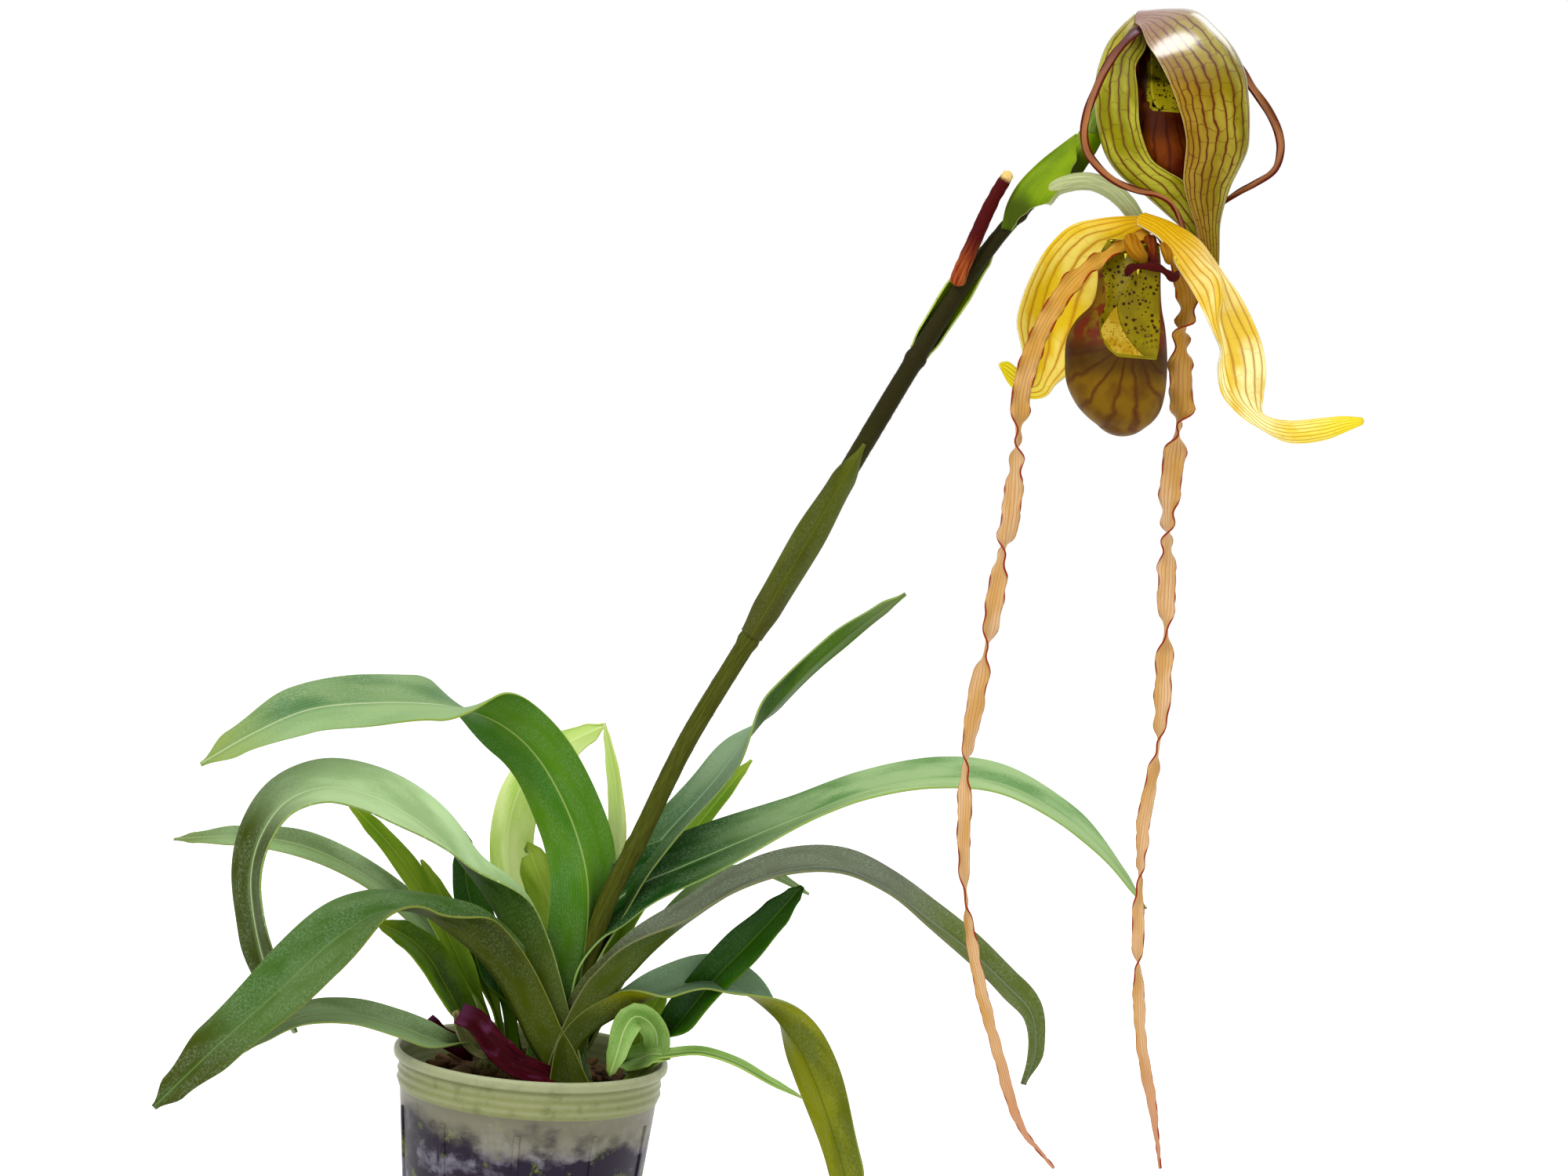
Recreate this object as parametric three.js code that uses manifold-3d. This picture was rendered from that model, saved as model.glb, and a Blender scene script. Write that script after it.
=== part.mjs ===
// Potted slipper orchid (Phragmipedium), life size, in millimetres.
// +Z is up, +X is the way the flower stem leans, -Y is the front.
// The origin is the centre of the pot's flat underside.

import * as THREE from 'three';
import { mergeVertices } from 'three/addons/utils/BufferGeometryUtils.js';
import Module from 'manifold-3d';

const wasm = await Module();
wasm.setup();

// ---------------------------------------------------------------- driving dimensions

const POT_HEIGHT = 100;
const POT_RIM_RADIUS = 56;
const POT_BASE_RADIUS = 44;
const POT_WALL = 1.0;
const POT_FLOOR = 2.0;
const POT_LIP_HEIGHT = 5;
const POT_STEP_HEIGHT = 84;
const POT_RIB_COUNT = 10;
const POT_RIB_PROUD = 0.7;
const POT_RIB_WIDTH = 2.4;
const POT_RIB_LENGTH = 70;
const POT_LIP_PROUD = 2;
const POT_STEP_PROUD = 1.5;
const POT_SEGMENTS = 30;
const DRAIN_HOLE_COUNT = 5;
const DRAIN_HOLE_RADIUS = 3;
const DRAIN_HOLE_CIRCLE = 25;

const BARK_TOP = 89;
const BARK_RELIEF = 2.2;
const BARK_CHIP_COUNT = 16;
const CROWN_TOP = 101;
const CROWN_FOOT = 76;
const RUNNER_RADIUS = 5;
const RUNNER_HEIGHT = 84;
const RUNNER_SAG = 2;

const FIT_GAP = 0.35;
const SMOOTHING = 0.03;
const LEAF_THICKNESS = 1.0;
const LEAF_STEP = 17;
const PETAL_THICKNESS = 0.8;
const SEPAL_THICKNESS = 0.9;
const POUCH_WALL = 1.0;
const POUCH_SIDES = 14;
const MARGIN_WAVE = { height: 0.8, count: 9, phase: 0 };
const SCAPE_RADIUS = 3.8;

// ---------------------------------------------------------------- materials

const finish = (color, roughness, extra = {}) =>
  new THREE.MeshStandardMaterial({ color, roughness, metalness: 0, ...extra });

const FINISHES = {
  pot: () => finish(0x8f9a86, 0.35, { transparent: true, opacity: 0.85 }),
  bark: () => finish(0x4a3424, 0.95),
  crown: () => finish(0x6d6a3a, 0.8),
  leaf: () => finish(0x5f8a4e, 0.5),
  youngLeaf: () => finish(0x9cbb3a, 0.5),
  purpleSheath: () => finish(0x5c2238, 0.6),
  greenSheath: () => finish(0x9aa65a, 0.6),
  scape: () => finish(0x3b2f16, 0.8),
  bract: () => finish(0x7fae3c, 0.55),
  stub: () => finish(0x7a2a22, 0.7),
  goldSepal: () => finish(0xd9a63a, 0.45),
  greenSepal: () => finish(0xb9b24a, 0.45),
  petal: () => finish(0xc59a62, 0.5),
  darkPetal: () => finish(0x7a5440, 0.5),
  pouch: () => finish(0xa8802e, 0.35),
  darkPouch: () => finish(0x7a3a2a, 0.35),
  column: () => finish(0x4c1a1e, 0.6),
};

// ---------------------------------------------------------------- number helpers

const radians = THREE.MathUtils.degToRad;

// Value of a list of [place, value] keys at a place, eased between neighbours.
function keyed(keys, place) {
  if (typeof keys === 'number') return keys;
  if (place <= keys[0][0]) return keys[0][1];
  for (let i = 1; i < keys.length; i += 1) {
    const [end, value] = keys[i];
    if (place > end) continue;
    const [start, before] = keys[i - 1];
    return before + (value - before) * THREE.MathUtils.smoothstep(place, start, end);
  }
  return keys[keys.length - 1][1];
}

// Repeatable random numbers from 0 to 1.
function seededRandom(seed) {
  let state = seed;
  return () => {
    state = (state * 1664525 + 1013904223) % 4294967296;
    return state / 4294967296;
  };
}

// ---------------------------------------------------------------- solids and meshes

function toSolid(geometry) {
  const bare = new THREE.BufferGeometry();
  bare.setAttribute('position', geometry.getAttribute('position').clone());
  if (geometry.index) bare.setIndex(geometry.index.clone());
  const merged = mergeVertices(bare, 1e-4);
  return new wasm.Manifold(new wasm.Mesh({
    numProp: 3,
    vertProperties: new Float32Array(merged.attributes.position.array),
    triVerts: new Uint32Array(merged.index.array),
  }));
}

function toGeometry(solid) {
  const mesh = solid.getMesh();
  const geometry = new THREE.BufferGeometry();
  geometry.setAttribute('position', new THREE.BufferAttribute(mesh.vertProperties, 3));
  geometry.setIndex(new THREE.BufferAttribute(mesh.triVerts, 1));
  const flat = geometry.toNonIndexed();
  flat.computeVertexNormals();
  return flat;
}

const surface = (vertices, triangles) => {
  const geometry = new THREE.BufferGeometry();
  geometry.setAttribute('position', new THREE.Float32BufferAttribute(vertices, 3));
  geometry.setIndex(triangles);
  return geometry;
};

function largestBody(solid) {
  const bodies = solid.decompose();
  return bodies.reduce((best, body) => (body.volume() > best.volume() ? body : best));
}

function boxesMeet(a, b) {
  return [0, 1, 2].every((k) => a.min[k] < b.max[k] && b.min[k] < a.max[k]);
}

const plant = new THREE.Group();
const placed = [];

// Adds a piece. make(grow) returns its closed geometry, grow millimetres larger all round.
// The piece is cut back by the fit gap from every piece that was added before it.
function addPiece(name, material, make) {
  let solid = toSolid(make(0));
  for (const other of placed) {
    if (!boxesMeet(solid.boundingBox(), other.fat.boundingBox())) continue;
    solid = largestBody(solid.subtract(other.fat));
  }
  solid = solid.simplify(SMOOTHING);
  placed.push({ name, fat: toSolid(make(FIT_GAP)) });
  const mesh = new THREE.Mesh(toGeometry(solid), material);
  mesh.name = name;
  plant.add(mesh);
}

// ---------------------------------------------------------------- blades and stems

// The side that a blade arches to.
const RIGHT = -1;
const LEFT = 1;

// Smooth line through points. lean is how much further back its tip lies than the points say.
function toCurve(points, lean = 0) {
  const last = points.length - 1;
  const depth = (i) => lean * (i / last) ** 2;
  const leant = points.map(([x, y, z], i) => new THREE.Vector3(x, y + depth(i), z));
  return new THREE.CatmullRomCurve3(leant, false, 'centripetal');
}

// Frame of a blade at a place along its curve. At roll 0 the blade stands edge-on to the
// front and its upper face is turned away from the ground where it arches to its side.
function bladeFrame(curve, place, side, roll) {
  const point = curve.getPointAt(place);
  const along = curve.getTangentAt(place);
  const across = new THREE.Vector3(0, side, 0).addScaledVector(along, -side * along.y).normalize();
  const upper = new THREE.Vector3().crossVectors(across, along);
  const turn = radians(roll);
  const width = across.clone().multiplyScalar(Math.cos(turn))
    .addScaledVector(upper, side * Math.sin(turn));
  return { point, along, width, upper: new THREE.Vector3().crossVectors(width, along) };
}

// Closed ribbon along a curve: leaf, sepal, petal or bract.
//   points  centre line from base to tip
//   lean    depth added towards the tip
//   half    half width keys          roll  turn about the centre line, in degrees
//   fold    angle by which each half rises towards the upper face, in degrees
//   cup     true for a rounded section, false for a crease at the midrib
//   wave    { height, count, phase } ripple of the two margins, opposite to each other
function blade(spec, grow) {
  const curve = toCurve(spec.points, spec.lean);
  const { side = 1, fold = 0, roll = 0, cup = false, steps = 14, lanes = 2 } = spec;
  const wave = spec.wave ?? { height: 0, count: 0, phase: 0 };
  const halfThick = (spec.thick ?? LEAF_THICKNESS) / 2 + grow;
  const vertices = [];
  for (let i = 0; i <= steps; i += 1) {
    const place = i / steps;
    const frame = bladeFrame(curve, place, side, keyed(roll, place));
    const half = keyed(spec.half, place) + grow;
    const angle = radians(keyed(fold, place));
    const endShift = (i === steps ? grow : 0) - (i === 0 ? grow : 0);
    frame.point.addScaledVector(frame.along, endShift);
    const section = (u) => {
      const rise = cup ? u * u : Math.abs(u);
      const ripple = wave.height * u ** 3 * Math.sin(2 * Math.PI * wave.count * place + wave.phase);
      return [half * u * Math.cos(angle), half * rise * Math.sin(angle) + ripple];
    };
    const faces = [1, -1].map((face) => {
      const row = [];
      for (let j = 0; j <= lanes; j += 1) {
        const u = (2 * j) / lanes - 1;
        const [x, y] = section(u);
        const before = section(u - 0.02);
        const after = section(u + 0.02);
        const slope = new THREE.Vector2(after[0] - before[0], after[1] - before[1]).normalize();
        const crease = u === 0 && !cup ? Math.min(2.6, 1 / Math.cos(angle)) : 1;
        const lift = face * halfThick * crease;
        row.push(frame.point.clone()
          .addScaledVector(frame.width, x - slope.y * lift)
          .addScaledVector(frame.upper, y + slope.x * lift));
      }
      return row;
    });
    faces.flat().forEach((p) => vertices.push(p.x, p.y, p.z));
  }
  const count = lanes + 1;
  const top = (i, j) => i * 2 * count + j;
  const under = (i, j) => top(i, j) + count;
  const triangles = [];
  const quad = (a, b, c, d) => triangles.push(a, b, c, a, c, d);
  for (let i = 0; i < steps; i += 1) {
    for (let j = 0; j < lanes; j += 1) {
      quad(top(i, j), top(i, j + 1), top(i + 1, j + 1), top(i + 1, j));
      triangles.push(under(i, j), under(i + 1, j + 1), under(i, j + 1));
      triangles.push(under(i, j), under(i + 1, j), under(i + 1, j + 1));
    }
    quad(top(i, lanes), under(i, lanes), under(i + 1, lanes), top(i + 1, lanes));
    quad(under(i, 0), top(i, 0), top(i + 1, 0), under(i + 1, 0));
  }
  for (let j = 0; j < lanes; j += 1) {
    quad(top(0, j), under(0, j), under(0, j + 1), top(0, j + 1));
    quad(top(steps, j), top(steps, j + 1), under(steps, j + 1), under(steps, j));
  }
  return surface(vertices, triangles);
}

// Closed round stem along a curve, its radius given by keys.
function stem({ points, radius, steps = 16, sides = 10, flat = 1 }, grow) {
  const curve = toCurve(points);
  const vertices = [];
  for (let i = 0; i <= steps; i += 1) {
    const place = i / steps;
    const { point, along, width, upper } = bladeFrame(curve, place, 1, 0);
    point.addScaledVector(along, (i === steps ? grow : 0) - (i === 0 ? grow : 0));
    const size = keyed(radius, place) + grow;
    for (let j = 0; j < sides; j += 1) {
      const angle = (2 * Math.PI * j) / sides;
      const p = point.clone()
        .addScaledVector(width, flat * size * Math.cos(angle))
        .addScaledVector(upper, size * Math.sin(angle));
      vertices.push(p.x, p.y, p.z);
    }
  }
  return rings(vertices, steps, sides);
}

// Closed skin over a stack of rings that run round the +Z to +W side, capped at both ends.
function rings(vertices, steps, sides) {
  const triangles = [];
  const at = (i, j) => i * sides + (j % sides);
  for (let i = 0; i < steps; i += 1) {
    for (let j = 0; j < sides; j += 1) {
      triangles.push(at(i, j), at(i + 1, j + 1), at(i, j + 1));
      triangles.push(at(i, j), at(i + 1, j), at(i + 1, j + 1));
    }
  }
  for (let j = 1; j < sides - 1; j += 1) {
    triangles.push(at(0, 0), at(0, j), at(0, j + 1));
    triangles.push(at(steps, 0), at(steps, j + 1), at(steps, j));
  }
  return surface(vertices, triangles);
}

// ---------------------------------------------------------------- pot

// Outer radius of the tapered wall below its step.
function wallRadius(z) {
  const top = POT_RIM_RADIUS - POT_LIP_PROUD - POT_STEP_PROUD;
  return POT_BASE_RADIUS + (top - POT_BASE_RADIUS) * (z / POT_STEP_HEIGHT);
}

function potProfile(grow) {
  const rim = POT_RIM_RADIUS + grow;
  const under = POT_RIM_RADIUS - POT_LIP_PROUD + grow;
  const lipBottom = POT_HEIGHT - POT_LIP_HEIGHT;
  const inside = (r) => r - POT_WALL - grow * 2;
  return [
    [0, -grow],
    [POT_BASE_RADIUS - 1.5 + grow, -grow],
    [POT_BASE_RADIUS + grow, 1.5],
    [wallRadius(POT_STEP_HEIGHT) + grow, POT_STEP_HEIGHT],
    [under - 0.5, POT_STEP_HEIGHT + 1.5],
    [under, lipBottom],
    [rim, lipBottom + 0.8],
    [rim, POT_HEIGHT - 0.8],
    [rim - 0.8, POT_HEIGHT + grow],
    [rim - 2.4 - 2 * grow, POT_HEIGHT - 0.4],
    [inside(under), lipBottom - 1],
    [inside(under - 0.5), POT_STEP_HEIGHT + 1.5],
    [inside(wallRadius(POT_STEP_HEIGHT) + grow), POT_STEP_HEIGHT],
    [inside(POT_BASE_RADIUS + grow), POT_FLOOR + grow],
    [0, POT_FLOOR + grow],
  ].map(([x, y]) => new THREE.Vector2(x, y));
}

function turned(profile, segments) {
  const geometry = new THREE.LatheGeometry(profile, segments);
  geometry.rotateX(Math.PI / 2);
  return geometry;
}

function addPot() {
  const make = (grow) => {
    let solid = toSolid(turned(potProfile(grow), POT_SEGMENTS));
    const slope = (wallRadius(POT_STEP_HEIGHT) - wallRadius(0)) / POT_STEP_HEIGHT;
    for (let i = 0; i < POT_RIB_COUNT; i += 1) {
      const rib = new THREE.BoxGeometry(2 * POT_RIB_PROUD, POT_RIB_WIDTH, POT_RIB_LENGTH);
      rib.rotateY(Math.atan(slope));
      rib.translate(wallRadius(POT_STEP_HEIGHT / 2), 0, POT_STEP_HEIGHT / 2);
      rib.rotateZ((2 * Math.PI * (i + 0.5)) / POT_RIB_COUNT);
      if (grow === 0) solid = solid.add(toSolid(rib));
    }
    for (let i = 0; i < DRAIN_HOLE_COUNT; i += 1) {
      const hole = new THREE.CylinderGeometry(DRAIN_HOLE_RADIUS, DRAIN_HOLE_RADIUS, 8, 8);
      hole.rotateX(Math.PI / 2);
      const angle = (2 * Math.PI * i) / DRAIN_HOLE_COUNT;
      hole.translate(DRAIN_HOLE_CIRCLE * Math.cos(angle), DRAIN_HOLE_CIRCLE * Math.sin(angle), 1);
      if (grow === 0) solid = solid.subtract(toSolid(hole));
    }
    return toGeometry(solid);
  };
  addPiece('pot', FINISHES.pot(), make);
}

// ---------------------------------------------------------------- bark medium and crowns

// Crowns of the four growths, where their leaves rise: x, y, half length and half depth.
const CROWNS = {
  main: { x: 18, y: -17, length: 13, depth: 8 },
  left: { x: -15, y: 4, length: 12, depth: 7 },
  right: { x: 44, y: 0, length: 8, depth: 7 },
  back: { x: 14, y: 21, length: 13, depth: 6 },
};

function crownSolid({ x, y, length, depth }, grow) {
  const top = CROWN_TOP + grow;
  const foot = CROWN_FOOT - grow;
  const profile = [[0, foot], [1, foot + 4], [1, CROWN_TOP - 3], [0.75, top], [0, top]];
  const bud = turned(profile.map(([r, z]) => new THREE.Vector2(r, z)), 16);
  bud.scale(length + grow, depth + grow, 1);
  bud.translate(x, y, 0);
  return toSolid(bud);
}

function addRhizome() {
  const { main, left, right, back } = CROWNS;
  const runners = [[left, main], [main, right], [main, back]];
  addPiece('rhizome', FINISHES.crown(), (grow) => {
    let solid = crownSolid(main, grow);
    for (const crown of [left, right, back]) solid = solid.add(crownSolid(crown, grow));
    for (const [from, to] of runners) {
      const middle = [(from.x + to.x) / 2, (from.y + to.y) / 2, RUNNER_HEIGHT - RUNNER_SAG];
      const points = [[from.x, from.y, RUNNER_HEIGHT], middle, [to.x, to.y, RUNNER_HEIGHT]];
      solid = solid.add(toSolid(stem({ points, radius: RUNNER_RADIUS, steps: 3, sides: 6 }, grow)));
    }
    return toGeometry(solid);
  });
}

function addBark() {
  const random = seededRandom(11);
  const chips = [];
  for (let i = 0; i < BARK_CHIP_COUNT; i += 1) {
    const ring = 12 + 34 * Math.sqrt(random());
    const angle = 2 * Math.PI * random();
    const chip = new THREE.BoxGeometry(7 + 8 * random(), 5 + 5 * random(), 4 + 3 * random());
    chip.rotateX(0.5 * (random() - 0.5));
    chip.rotateY(0.6 * (random() - 0.5));
    chip.rotateZ(2 * Math.PI * random());
    const height = BARK_TOP - 1.6 + BARK_RELIEF * random();
    chip.translate(ring * Math.cos(angle), ring * Math.sin(angle), height);
    chips.push(chip);
  }
  addPiece('bark_medium', FINISHES.bark(), (grow) => {
    const bottom = POT_FLOOR + FIT_GAP - grow;
    const gap = POT_WALL + FIT_GAP - grow;
    const profile = [
      [0, bottom],
      [wallRadius(bottom) - gap, bottom],
      [wallRadius(POT_STEP_HEIGHT) - gap, POT_STEP_HEIGHT],
      [wallRadius(POT_STEP_HEIGHT) - gap, BARK_TOP - 3],
      [POT_RIM_RADIUS - 10, BARK_TOP],
      [0, BARK_TOP + 1],
    ].map(([x, y]) => new THREE.Vector2(x, y));
    let solid = toSolid(turned(profile, POT_SEGMENTS));
    for (const chip of chips) solid = solid.add(toSolid(chip));
    return toGeometry(solid);
  });
}

// ---------------------------------------------------------------- flower stem

const SCAPE_POINTS = [
  [17.3, -17, 99], [19, -17, 128], [25, -18, 162], [38, -20, 196], [53, -23, 235],
  [75, -27, 280], [94, -31, 320], [112, -34, 358], [133, -38, 401], [149, -40, 431],
  [162, -41, 451], [175, -41, 467], [183, -40, 478],
];

function addScape() {
  const radius = [[0, SCAPE_RADIUS], [0.7, SCAPE_RADIUS], [1, 2.6]];
  const spec = { points: SCAPE_POINTS, radius, steps: 26 };
  addPiece('scape', FINISHES.scape(), (grow) => stem(spec, grow));
}

const FRONT = -5;
const BEHIND = 5;

// Points beside the stem between two places on it, moved forwards or backwards.
function besideStem(from, to, count, shift) {
  const curve = toCurve(SCAPE_POINTS);
  return Array.from({ length: count + 1 }, (_, i) => {
    const { x, y, z } = curve.getPointAt(from + ((to - from) * i) / count);
    return [x, y + shift, z];
  });
}

// Half width along a bract that clasps a stem and ends in a point.
const clasping = (half) => [
  [0, half * 0.7], [0.15, half * 0.9], [0.5, half], [0.8, half * 0.75], [1, half * 0.08],
];

// Bracts are gutters that clasp the stem, from the front or from behind it.
const BRACTS = {
  scape_sheath_low: {
    finish: 'scape', side: LEFT, half: clasping(8.5), fold: 44, roll: -90, steps: 10,
    points: besideStem(0.46, 0.672, 4, FRONT),
  },
  scape_sheath_high: {
    finish: 'bract', side: LEFT, half: clasping(7.2), fold: 40, roll: 90, steps: 8,
    points: besideStem(0.772, 0.9, 4, BEHIND),
  },
  bract_lower: {
    finish: 'bract', side: LEFT, half: clasping(11.5), fold: 46, roll: -90, steps: 8,
    points: [[160, -46, 448], [165, -47, 458], [173, -48, 468], [181, -48, 478], [185, -47, 487]],
  },
  bract_upper: {
    finish: 'bract', side: LEFT, half: clasping(6.5), fold: 40, roll: -70, steps: 6,
    points: [[182, -43, 472], [187, -39, 483], [192, -35, 493], [196, -31, 500]],
  },
};

function addBracts() {
  const stub = {
    radius: [[0, 2], [1, 2.3]],
    points: [[143, -44, 423], [150, -45, 442], [156.5, -46, 456], [160.5, -47, 470]],
  };
  addPiece('spent_stub', FINISHES.stub(), (grow) => stem({ ...stub, steps: 6, sides: 8 }, grow));
  for (const [name, bract] of Object.entries(BRACTS)) {
    const spec = { ...bract, cup: true, lanes: 4 };
    addPiece(name, FINISHES[bract.finish](), (grow) => blade(spec, grow));
  }
}

// ---------------------------------------------------------------- flowers

// Slipper pouch: a stack of oval rings (x, y, z, half width, half depth), hollow, with an
// oval mouth cut into its front.
function pouchSolid({ stack, mouth }, grow) {
  const shell = (inset) => {
    const vertices = [];
    stack.forEach(([x, y, z, halfX, halfY], i) => {
      const drop = i === 0 ? inset * 0.5 : 0;
      const raise = i === stack.length - 1 ? inset : 0;
      for (let j = 0; j < POUCH_SIDES; j += 1) {
        const angle = (2 * Math.PI * j) / POUCH_SIDES;
        vertices.push(
          x + Math.max(0.6, halfX - inset) * Math.cos(angle),
          y + Math.max(0.6, halfY - inset) * Math.sin(angle),
          z - drop + raise,
        );
      }
    });
    return toSolid(rings(vertices, stack.length - 1, POUCH_SIDES));
  };
  const outer = shell(-grow);
  if (grow > 0) return outer;
  const opening = new THREE.CylinderGeometry(1, 1, mouth.depth, 20);
  opening.scale(mouth.halfX, 1, mouth.halfZ);
  opening.translate(mouth.x, mouth.y - mouth.depth / 2, mouth.z);
  return outer.subtract(shell(POUCH_WALL)).subtract(toSolid(opening));
}

const LOWER_FLOWER = {
  ovary: {
    points: [
      [177, -42, 463], [182, -46, 466], [192, -50, 468], [203, -53, 467], [211, -55, 461],
      [216, -57, 452],
    ],
    radius: [[0, 2.6], [0.7, 3], [0.9, 3.4], [1, 3.6]],
  },
  column: {
    points: [[216, -58, 450], [216, -66, 445], [215, -75, 438]],
    radius: [[0, 3], [0.6, 2.6], [1, 3.2]],
  },
  shield: {
    points: [[205, -76, 437], [210, -78, 439], [215, -79, 439], [220, -78, 439], [225, -76, 436]],
    radius: 2.4,
  },
  pouch: {
    stack: [
      [213, -61, 449, 4, 3], [210, -63, 441, 11, 6], [209, -64, 429, 13, 9],
      [207, -66, 420, 15.5, 12], [206, -68, 411, 19, 15], [206, -70, 400, 20, 17],
      [206, -71, 391, 19.5, 17], [208, -71, 383, 16, 15], [209, -71, 376, 9, 9],
      [210, -71, 373, 3, 3],
    ],
    mouth: { x: 211, y: -65, z: 431, halfX: 12.5, halfZ: 26, depth: 40 },
  },
  petals: {
    left: {
      side: LEFT, steps: 42,
      half: [
        [0, 3], [0.06, 5], [0.14, 6.4], [0.22, 5.6], [0.32, 4.2], [0.5, 4], [0.65, 2.8], [0.9, 2.4],
        [1, 0.5],
      ],
      roll: [
        [0, 60], [0.2, 90], [0.335, 270], [0.411, 450], [0.527, 630], [0.637, 810], [0.797, 990],
        [1, 1010],
      ],
      points: [
        [214, -58, 451], [206, -63, 446], [195, -70, 440], [184, -74, 431], [179, -75, 419],
        [175, -74, 408], [173, -72, 395], [171, -70, 382], [171, -69, 368], [171, -68, 340],
        [168, -66, 308], [164, -66, 265], [163, -66, 242], [164, -66, 215], [167, -66, 188],
        [175, -66, 158], [186, -66, 127], [197, -66, 101], [211, -66, 86],
      ],
    },
    right: {
      side: RIGHT, steps: 42,
      half: [
        [0, 3], [0.06, 5.6], [0.16, 5.8], [0.27, 4.6], [0.37, 3.8], [0.5, 3.4], [0.65, 2.6],
        [0.9, 2.4], [1, 0.5],
      ],
      roll: [
        [0, 60], [0.05, 90], [0.16, 270], [0.256, 450], [0.38, 630], [0.464, 810], [0.62, 990],
        [0.745, 1170], [0.811, 1350], [1, 1370],
      ],
      points: [
        [219, -57, 450], [224, -57, 442], [230, -56, 431], [233, -57, 414], [233, -58, 395],
        [231, -59, 376], [232, -60, 357], [233, -60, 337], [235, -60, 298], [237, -60, 257],
        [234, -60, 227], [234, -60, 200], [237, -60, 168], [241, -60, 137], [248, -60, 111],
        [253, -60, 88],
      ],
    },
  },
  sepals: {
    left: {
      side: LEFT, steps: 14, roll: [[0, 60], [0.3, 84], [0.78, 84], [1, 60]], fold: 16,
      half: [[0, 5], [0.2, 10], [0.45, 14.5], [0.66, 13], [0.8, 6], [0.92, 4.5], [1, 1]],
      points: [
        [214, -55, 455], [201, -54, 450], [190, -50, 440], [184, -46, 426], [182, -42, 411],
        [182, -41, 399], [179, -44, 388], [171, -48, 390], [163, -48, 396],
      ],
    },
    right: {
      side: RIGHT, steps: 16, roll: [[0, 50], [0.5, 62], [0.75, 30], [1, 30]],
      fold: [[0, 16], [0.5, 34], [1, 24]],
      half: [[0, 5], [0.15, 9], [0.45, 12.5], [0.62, 11.5], [0.74, 6.4], [0.92, 5.6], [1, 1.4]],
      points: [
        [217, -55, 455], [225, -62, 449], [235, -67, 438], [242, -70, 424], [248, -69, 411],
        [253, -67, 397], [260, -63, 385], [275, -61, 379], [291, -62, 380], [303, -64, 386],
      ],
    },
  },
};

const UPPER_FLOWER = {
  ovary: {
    points: [[190, -37, 488], [194, -26, 501], [199, -15, 518], [203, -18, 530], [206, -26, 534]],
    radius: [[0, 2.6], [0.7, 3], [0.9, 3.4], [1, 3.6]],
  },
  column: {
    points: [[207, -27, 532], [210, -34, 525], [211, -40, 516]],
    radius: [[0, 3], [0.6, 2.4], [1, 3]],
  },
  shield: { points: [[204, -41, 514], [211, -44, 516], [218, -41, 514]], radius: 2.2 },
  pouch: {
    stack: [
      [209, -30, 527, 4, 3], [212, -33, 519, 9, 6], [215, -35, 508, 13, 9], [218, -37, 497, 15, 11],
      [220, -38, 486, 15, 12], [221, -38, 477, 13, 10.5], [222, -38, 471, 9, 7.5],
      [223, -38, 468, 4, 3.5],
    ],
    mouth: { x: 214, y: -36, z: 511, halfX: 8.5, halfZ: 13, depth: 30 },
  },
  petals: {
    left: {
      side: LEFT, steps: 24, half: [[0, 2.4], [0.5, 1.9], [1, 1.2]], roll: [[0, 60], [1, 120]],
      points: [
        [205, -30, 531], [200, -48, 526], [194, -60, 516], [189, -66, 505], [186, -68, 493],
        [187, -68, 483], [193, -66, 475], [203, -65, 470], [216, -64, 467], [225, -63, 464],
        [230, -62, 458],
      ],
    },
    right: {
      side: RIGHT, steps: 24, half: [[0, 2.4], [0.5, 1.9], [1, 1.2]], roll: [[0, 60], [1, 120]],
      points: [
        [209, -24, 532], [228, -18, 528], [245, -20, 521], [252, -28, 512], [259, -36, 502],
        [263, -40, 494], [264, -42, 488], [262, -44, 480], [255, -44, 474], [249, -42, 470],
        [246, -41, 465],
      ],
    },
  },
  sepals: {
    right: {
      side: RIGHT, steps: 14, roll: [[0, -110], [0.5, -120], [1, -110]],
      fold: [[0, 30], [0.5, 46], [0.8, 40], [1, 20]],
      half: [[0, 5], [0.12, 13], [0.35, 21], [0.6, 18.5], [0.8, 8], [1, 3.5]],
      points: [
        [207, -31, 535], [221, -45, 533], [233, -54, 522], [240, -58, 505], [243, -58, 490],
        [243, -53, 474], [243, -46, 459], [243, -40, 442],
      ],
    },
    left: {
      side: RIGHT, steps: 14, roll: [[0, -60], [0.5, -50], [1, -60]],
      fold: [[0, 30], [0.5, 46], [0.8, 40], [1, 20]],
      half: [[0, 4], [0.2, 10], [0.45, 14], [0.7, 11], [0.85, 6], [1, 3]],
      points: [
        [205, -31, 533], [197, -43, 518], [194, -50, 500], [199, -54, 482], [211, -52, 468],
        [228, -46, 457], [241, -40, 444],
      ],
    },
  },
};

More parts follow.
